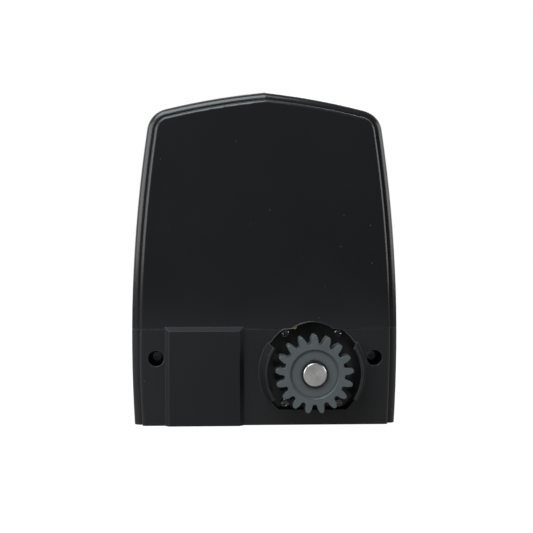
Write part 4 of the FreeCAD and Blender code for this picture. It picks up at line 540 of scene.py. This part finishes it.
def wound(name, colour):
    # enamelled copper wire laid side by side
    look = winding
    paint = Paint(name)
    wobble = paint.noise(*look["wobble"])
    level = (paint.axis("Z") + wobble * look["wobbleShift"]) * (2 * math.pi / look["pitch"])
    turns = paint.maths("SINE", level) * 0.5 + 0.5
    tone = paint.tint(turns, shade(colour, look["gapTone"]), colour)
    tone = paint.tint(wobble * look["wobbleShare"], tone, shade(colour, look["wobbleTone"]))
    roughness = look["rough"] + wobble * look["wobbleRough"]
    return paint.surface(colour=tone, metal=look["metal"], rough=roughness, coat=look["enamel"],
                         coatRough=look["enamelRough"], normal=paint.bump(turns, *look["turnBump"]))


board = {
    "copper": (0.06, 0.24, 0.10),
    "pitch": 0.0025,                   # of the upright tracks
    "uprightEdge": (0.45, 0.5),        # in pitches
    "levelPitch": 1.4,                 # the level tracks, also in pitches
    "levelEdge": (0.7, 0.75),
    "trackBump": (0.00003, 0.5),
    "patch": (55, 1, 0.4),
    "patchSpan": (0.49, 0.51),
    "haze": (200, 2.0, 0.5),
    "hazeRough": 0.1,
    "rough": 0.28,
    "mask": 0.3,
}


def etched(name, colour):
    # circuit board: solder mask over straight tracks
    look = board
    paint = Paint(name)
    pitch = look["pitch"]
    across = paint.maths("PINGPONG", paint.axis("X"), pitch)
    along = paint.maths("PINGPONG", paint.axis("Z"), pitch * look["levelPitch"])
    patch = paint.span(paint.noise(*look["patch"]), *look["patchSpan"])
    upright = paint.span(across, *(pitch * share for share in look["uprightEdge"]))
    level = paint.span(along, *(pitch * share for share in look["levelEdge"]))
    tone = paint.tint(patch, paint.tint(upright, colour, look["copper"]),
                      paint.tint(level, colour, look["copper"]))
    roughness = look["rough"] + paint.noise(*look["haze"]) * look["hazeRough"]
    return paint.surface(colour=tone, rough=roughness, coat=look["mask"],
                         normal=paint.bump(upright, *look["trackBump"]))


glass = {
    "haze": (150, 3, 0.6),
    "hazeSpan": (0.4, 0.8),
    "colours": ((0.9, 0.95, 0.95), (0.75, 0.8, 0.8)),
    "rough": 0.03,
    "hazeRough": 0.1,
    "clear": 0.9,
    "ior": 1.5,
}


def glassy(name):
    # the fuse's tube, a little hazy
    look = glass
    paint = Paint(name)
    haze = paint.span(paint.noise(*look["haze"]), *look["hazeSpan"])
    tone = paint.tint(haze, *look["colours"])
    roughness = look["rough"] + haze * look["hazeRough"]
    return paint.surface(colour=tone, rough=roughness, clear=look["clear"], ior=look["ior"])


shaftCentre = [(low + high) / 2 for low, high in zip(*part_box("output_shaft"))]
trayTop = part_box("base_tray")[1].z   # height of the joint between tray and cover

finishes = {
    "tray_plastic": moulded("trayPlastic", (0.0145, 0.0145, 0.0157), rough=0.42, gloss=0.24,
                            grain=0.00002, joint=trayTop),
    "cover_plastic": moulded("coverPlastic", (0.0110, 0.0109, 0.0124), rough=0.21, gloss=0.50,
                             grain=0.000006, joint=trayTop),
    "panel_plastic": moulded("panelPlastic", (0.0170, 0.0170, 0.0190), rough=0.45, gloss=0.14),
    "lever_plastic": moulded("leverPlastic", (0.045, 0.045, 0.048), rough=0.40, gloss=0.4),
    "carrier_plastic": moulded("carrierPlastic", (0.20, 0.20, 0.21), rough=0.45, gloss=0.4),
    "component_black": moulded("componentBlack", (0.018, 0.018, 0.018), rough=0.35, gloss=0.45,
                               edgeHighlight=0.3),
    "terminal_green": moulded("terminalGreen", (0.03, 0.28, 0.10), rough=0.35, gloss=0.45,
                              edgeHighlight=0.2),
    "button_red": moulded("buttonRed", (0.55, 0.03, 0.02), rough=0.30, gloss=0.5, edgeHighlight=0.2),
    "capacitor_case": moulded("capacitorCase", (0.68, 0.68, 0.66), rough=0.35, gloss=0.5, edgeHighlight=0.2),
    "zinc_steel": ground("zincSteel", (0.50, 0.50, 0.49), rough=0.32, grain=(1, 1, 0.2)),
    "dark_steel": ground("darkSteel", (0.05, 0.05, 0.052), rough=0.16, soft=0.0010, worn=0.9),
    # grey, well above the screws' own black: painted light down in the deep screw wells
    "black_screws": ground("blackScrews", (0.24, 0.24, 0.26), rough=0.45, metal=0.3),
    # paler and glossier than the tray plastic: the paler colour is a painted highlight along the
    # opening's edge
    "bead_plastic": moulded("beadPlastic", (0.030, 0.030, 0.032), rough=0.18, gloss=0.60, edgeHighlight=0.0),
    "brass": ground("turnedBrass", (0.75, 0.52, 0.20), rough=0.28, grain=(1, 0.1, 1)),
    "bronze": ground("wheelBronze", (0.55, 0.36, 0.16), rough=0.34, grain=(1, 0.2, 1)),
    "rubber": rubbery("blackRubber", (0.018, 0.018, 0.018)),
    "cast_aluminium": cast("castAluminium", (0.42, 0.43, 0.44)),
    "black_paint": painted("blackPaint", (0.0200, 0.0200, 0.0206)),
    "gear_steel": phosphated("gearSteel", (0.111, 0.127, 0.132), shaftCentre),
    "spring_steel": ground("blackOxide", (0.030, 0.030, 0.031), rough=0.35, metal=0.7),
    "bright_steel": turned("brightSteel", (0.58, 0.575, 0.57), shaftCentre),
    "lamination_steel": laminated("laminations", (0.32, 0.32, 0.33)),
    "copper_wire": wound("copperWire", (0.50, 0.20, 0.08)),
    "chrome_lock": ground("chromeLock", (0.70, 0.70, 0.71), rough=0.10),
    "circuit_board": etched("circuitBoard", (0.015, 0.11, 0.045)),
    "fuse_glass": glassy("fuseGlass"),
}
ownFinish = {"cover_screws": "black_screws"}   # a node that differs from its slot
for part in frame["record"]["subparts"]:
    mesh = nodes[part["node"]].data
    mesh.materials.clear()
    mesh.materials.append(finishes[ownFinish.get(part["node"], part["material_slot"])])
print("finishes made:", len(finishes))


openingBead = {
    "thick": 0.00055,      # radius of the bead
    "outside": 0.00025,    # from the opening's edge to its middle
    "face": -0.1000,       # rear face of the casing
    "radius": 0.0505,      # round opening in the tray
    "guardEnd": 33.0,      # the bead starts where a guard ends, in degrees
    "archRadius": 0.0345,
    "archRise": 0.0069,    # arch in the cover, over the tray's top
    "sides": 12,
    "steps": 24,
}


def makeOpeningBead():
    # fine bead round the pinion's opening: a circle spun and extruded along the edge
    size = openingBead
    middleX, middleZ = shaftCentre[0], shaftCentre[2]
    reach = size["radius"] + size["outside"]
    topAngle = math.asin((trayTop - middleZ) / reach)
    startAngle = math.pi - math.radians(size["guardEnd"])
    start = (middleX + reach * math.cos(startAngle), size["face"],
             middleZ + reach * math.sin(startAngle))
    archReach = size["archRadius"] + size["outside"]
    archZ = trayTop - (size["archRadius"] - size["archRise"])
    archAngle = math.acos((trayTop - archZ) / archReach)
    flat = reach * math.cos(topAngle) - archReach * math.sin(archAngle)
    bpy.ops.object.select_all(action="DESELECT")
    bpy.ops.mesh.primitive_circle_add(
        vertices=size["sides"], radius=size["thick"], fill_type="NGON",
        rotation=(0, math.pi - startAngle, 0), location=start)
    bead = bpy.context.object
    bead.name = "opening_bead"
    bpy.ops.object.transform_apply(location=True, rotation=True, scale=True)
    bpy.ops.object.mode_set(mode="EDIT")

    def turn(angle, height):
        bpy.ops.mesh.spin(steps=size["steps"], angle=angle, axis=(0, 1, 0),
                          center=(middleX, size["face"], height))

    def along():
        bpy.ops.mesh.extrude_region_move(TRANSFORM_OT_translate={"value": (flat, 0, 0)})

    shoulder = startAngle - (math.pi - topAngle)
    turn(-shoulder, middleZ)
    along()
    turn(-2 * archAngle, archZ)
    along()
    turn(-shoulder, middleZ)
    bpy.ops.mesh.select_all(action="SELECT")
    bpy.ops.mesh.remove_doubles(threshold=weld)
    bpy.ops.mesh.normals_make_consistent(inside=False)
    bpy.ops.object.mode_set(mode="OBJECT")
    bpy.ops.object.shade_smooth_by_angle(angle=smoothAngle)
    bead.data.materials.append(finishes["bead_plastic"])
    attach(bead, "casing")
    print("opening bead made")


def makeClutchSpring():
    # merged copy of the clutch spring, which shortens as the clutch slides
    bpy.ops.object.select_all(action="DESELECT")
    nodes["clutch_spring"].select_set(True)
    bpy.context.view_layer.objects.active = nodes["clutch_spring"]
    bpy.ops.object.duplicate()
    spring = bpy.context.object
    spring.name = "clutch_coil"
    spring.parent = None
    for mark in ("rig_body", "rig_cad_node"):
        del spring[mark]
    bpy.ops.object.mode_set(mode="EDIT")
    bpy.ops.mesh.select_all(action="SELECT")
    bpy.ops.mesh.remove_doubles(threshold=weld)
    bpy.ops.object.mode_set(mode="OBJECT")
    bpy.ops.object.shade_smooth_by_angle(angle=smoothAngle)
    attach(spring, "output")
    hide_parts("clutch_spring")
    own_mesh(spring)
    print("clutch spring made")


studio = {
    "floorSize": 14.0,
    "floorDrop": 0.0002,         # clear of the feet
    "floorColour": (0.11, 0.11, 0.11),
    "floorGlow": 0.96,           # what the camera sees on top of the lit colour
    "floorShine": 0.55,          # the same in reflections, near the object
    "shineReach": (0.45, 1.2),   # from full to none
    "roomFront": 0.085,          # dim room on the viewer's side
    "roomBack": 1.0,             # white wall behind the object
    "roomTurn": (-0.05, 0.5),    # from the one to the other
}


def makeFloor():
    bpy.ops.object.select_all(action="DESELECT")
    bpy.ops.mesh.primitive_plane_add(size=studio["floorSize"],
                                     location=(0, 0, cadBox[0].z - studio["floorDrop"]))
    floor = bpy.context.object
    floor.name = "floor"
    paint = Paint("paleFloor")
    camera, glossy, through = paint.rays()
    diffuse = paint.add("ShaderNodeBsdfDiffuse", {}, {"Color": (*studio["floorColour"], 1)})
    shine = paint.span(paint.length(paint.place), *studio["shineReach"], studio["floorShine"], 0)
    strength = camera * studio["floorGlow"] + (glossy + through) * shine
    glow = paint.add("ShaderNodeEmission", {}, {"Color": (1, 1, 1, 1), "Strength": strength})
    both = paint.add("ShaderNodeAddShader", {}, {0: diffuse, 1: glow})
    floor.data.materials.append(paint.finish(both))


def makeWorld():
    # white to the camera, and to the object a dim room with a white wall behind it
    paint = Paint("studio", forWorld=True)
    camera = paint.rays()[0]
    depth = paint.axis("Y")
    level = paint.span(depth, *studio["roomTurn"], studio["roomFront"], studio["roomBack"])
    strength = camera + (1 - camera) * level
    glow = paint.add("ShaderNodeBackground", {}, {"Color": (1, 1, 1, 1), "Strength": strength})
    bpy.context.scene.world = paint.finish(glow)


white = (1.0, 1.0, 1.0)
lamps = {  # soft boxes, aimed at the object's middle
    "topBox": {"at": (-0.42, -0.73, 1.30), "size": (1.2, 0.9), "power": 21, "tint": (0.90, 0.98, 1.0)},
    "leftBox": {"at": (-1.25, -0.70, 0.57), "size": (1.5, 0.8), "power": 13, "tint": white},
    "rightBox": {"at": (1.30, -0.35, 0.54), "size": (1.0, 0.8), "power": 7, "tint": white},
    "backBox": {"at": (0.55, 1.50, 1.35), "size": (1.0, 0.8), "power": 12, "tint": white},
}


def hang(holder, at, target):  # a lamp or the camera, aimed at the target
    holder.location = at
    holder.rotation_euler = (Vector(target) - Vector(at)).to_track_quat("-Z", "Y").to_euler()
    bpy.context.scene.collection.objects.link(holder)


def makeLamps():
    for name, lamp in lamps.items():
        light = bpy.data.lights.new(name, "AREA")
        light.shape, light.energy = "RECTANGLE", lamp["power"]
        light.size, light.size_y = lamp["size"]
        light.color = lamp["tint"]
        hang(bpy.data.objects.new(name, light), lamp["at"], (cadBox[0] + cadBox[1]) / 2)


view = {
    "from": (-0.045, -1.10, 0.178),
    "to": (0.00084, -0.10, 0.1569),
    "lens": 68.57,
    "sensor": 36,
    "clip": (0.05, 50),
}


def makeCamera():
    data = bpy.data.cameras.new("camera")
    data.lens, data.sensor_width = view["lens"], view["sensor"]
    data.clip_start, data.clip_end = view["clip"]
    camera = bpy.data.objects.new("camera", data)
    hang(camera, view["from"], view["to"])
    bpy.context.scene.camera = camera


makeOpeningBead()
makeClutchSpring()
makeFloor()
makeWorld()
makeLamps()
makeCamera()
bpy.context.scene.view_settings.view_transform = "Standard"
print("studio ready")
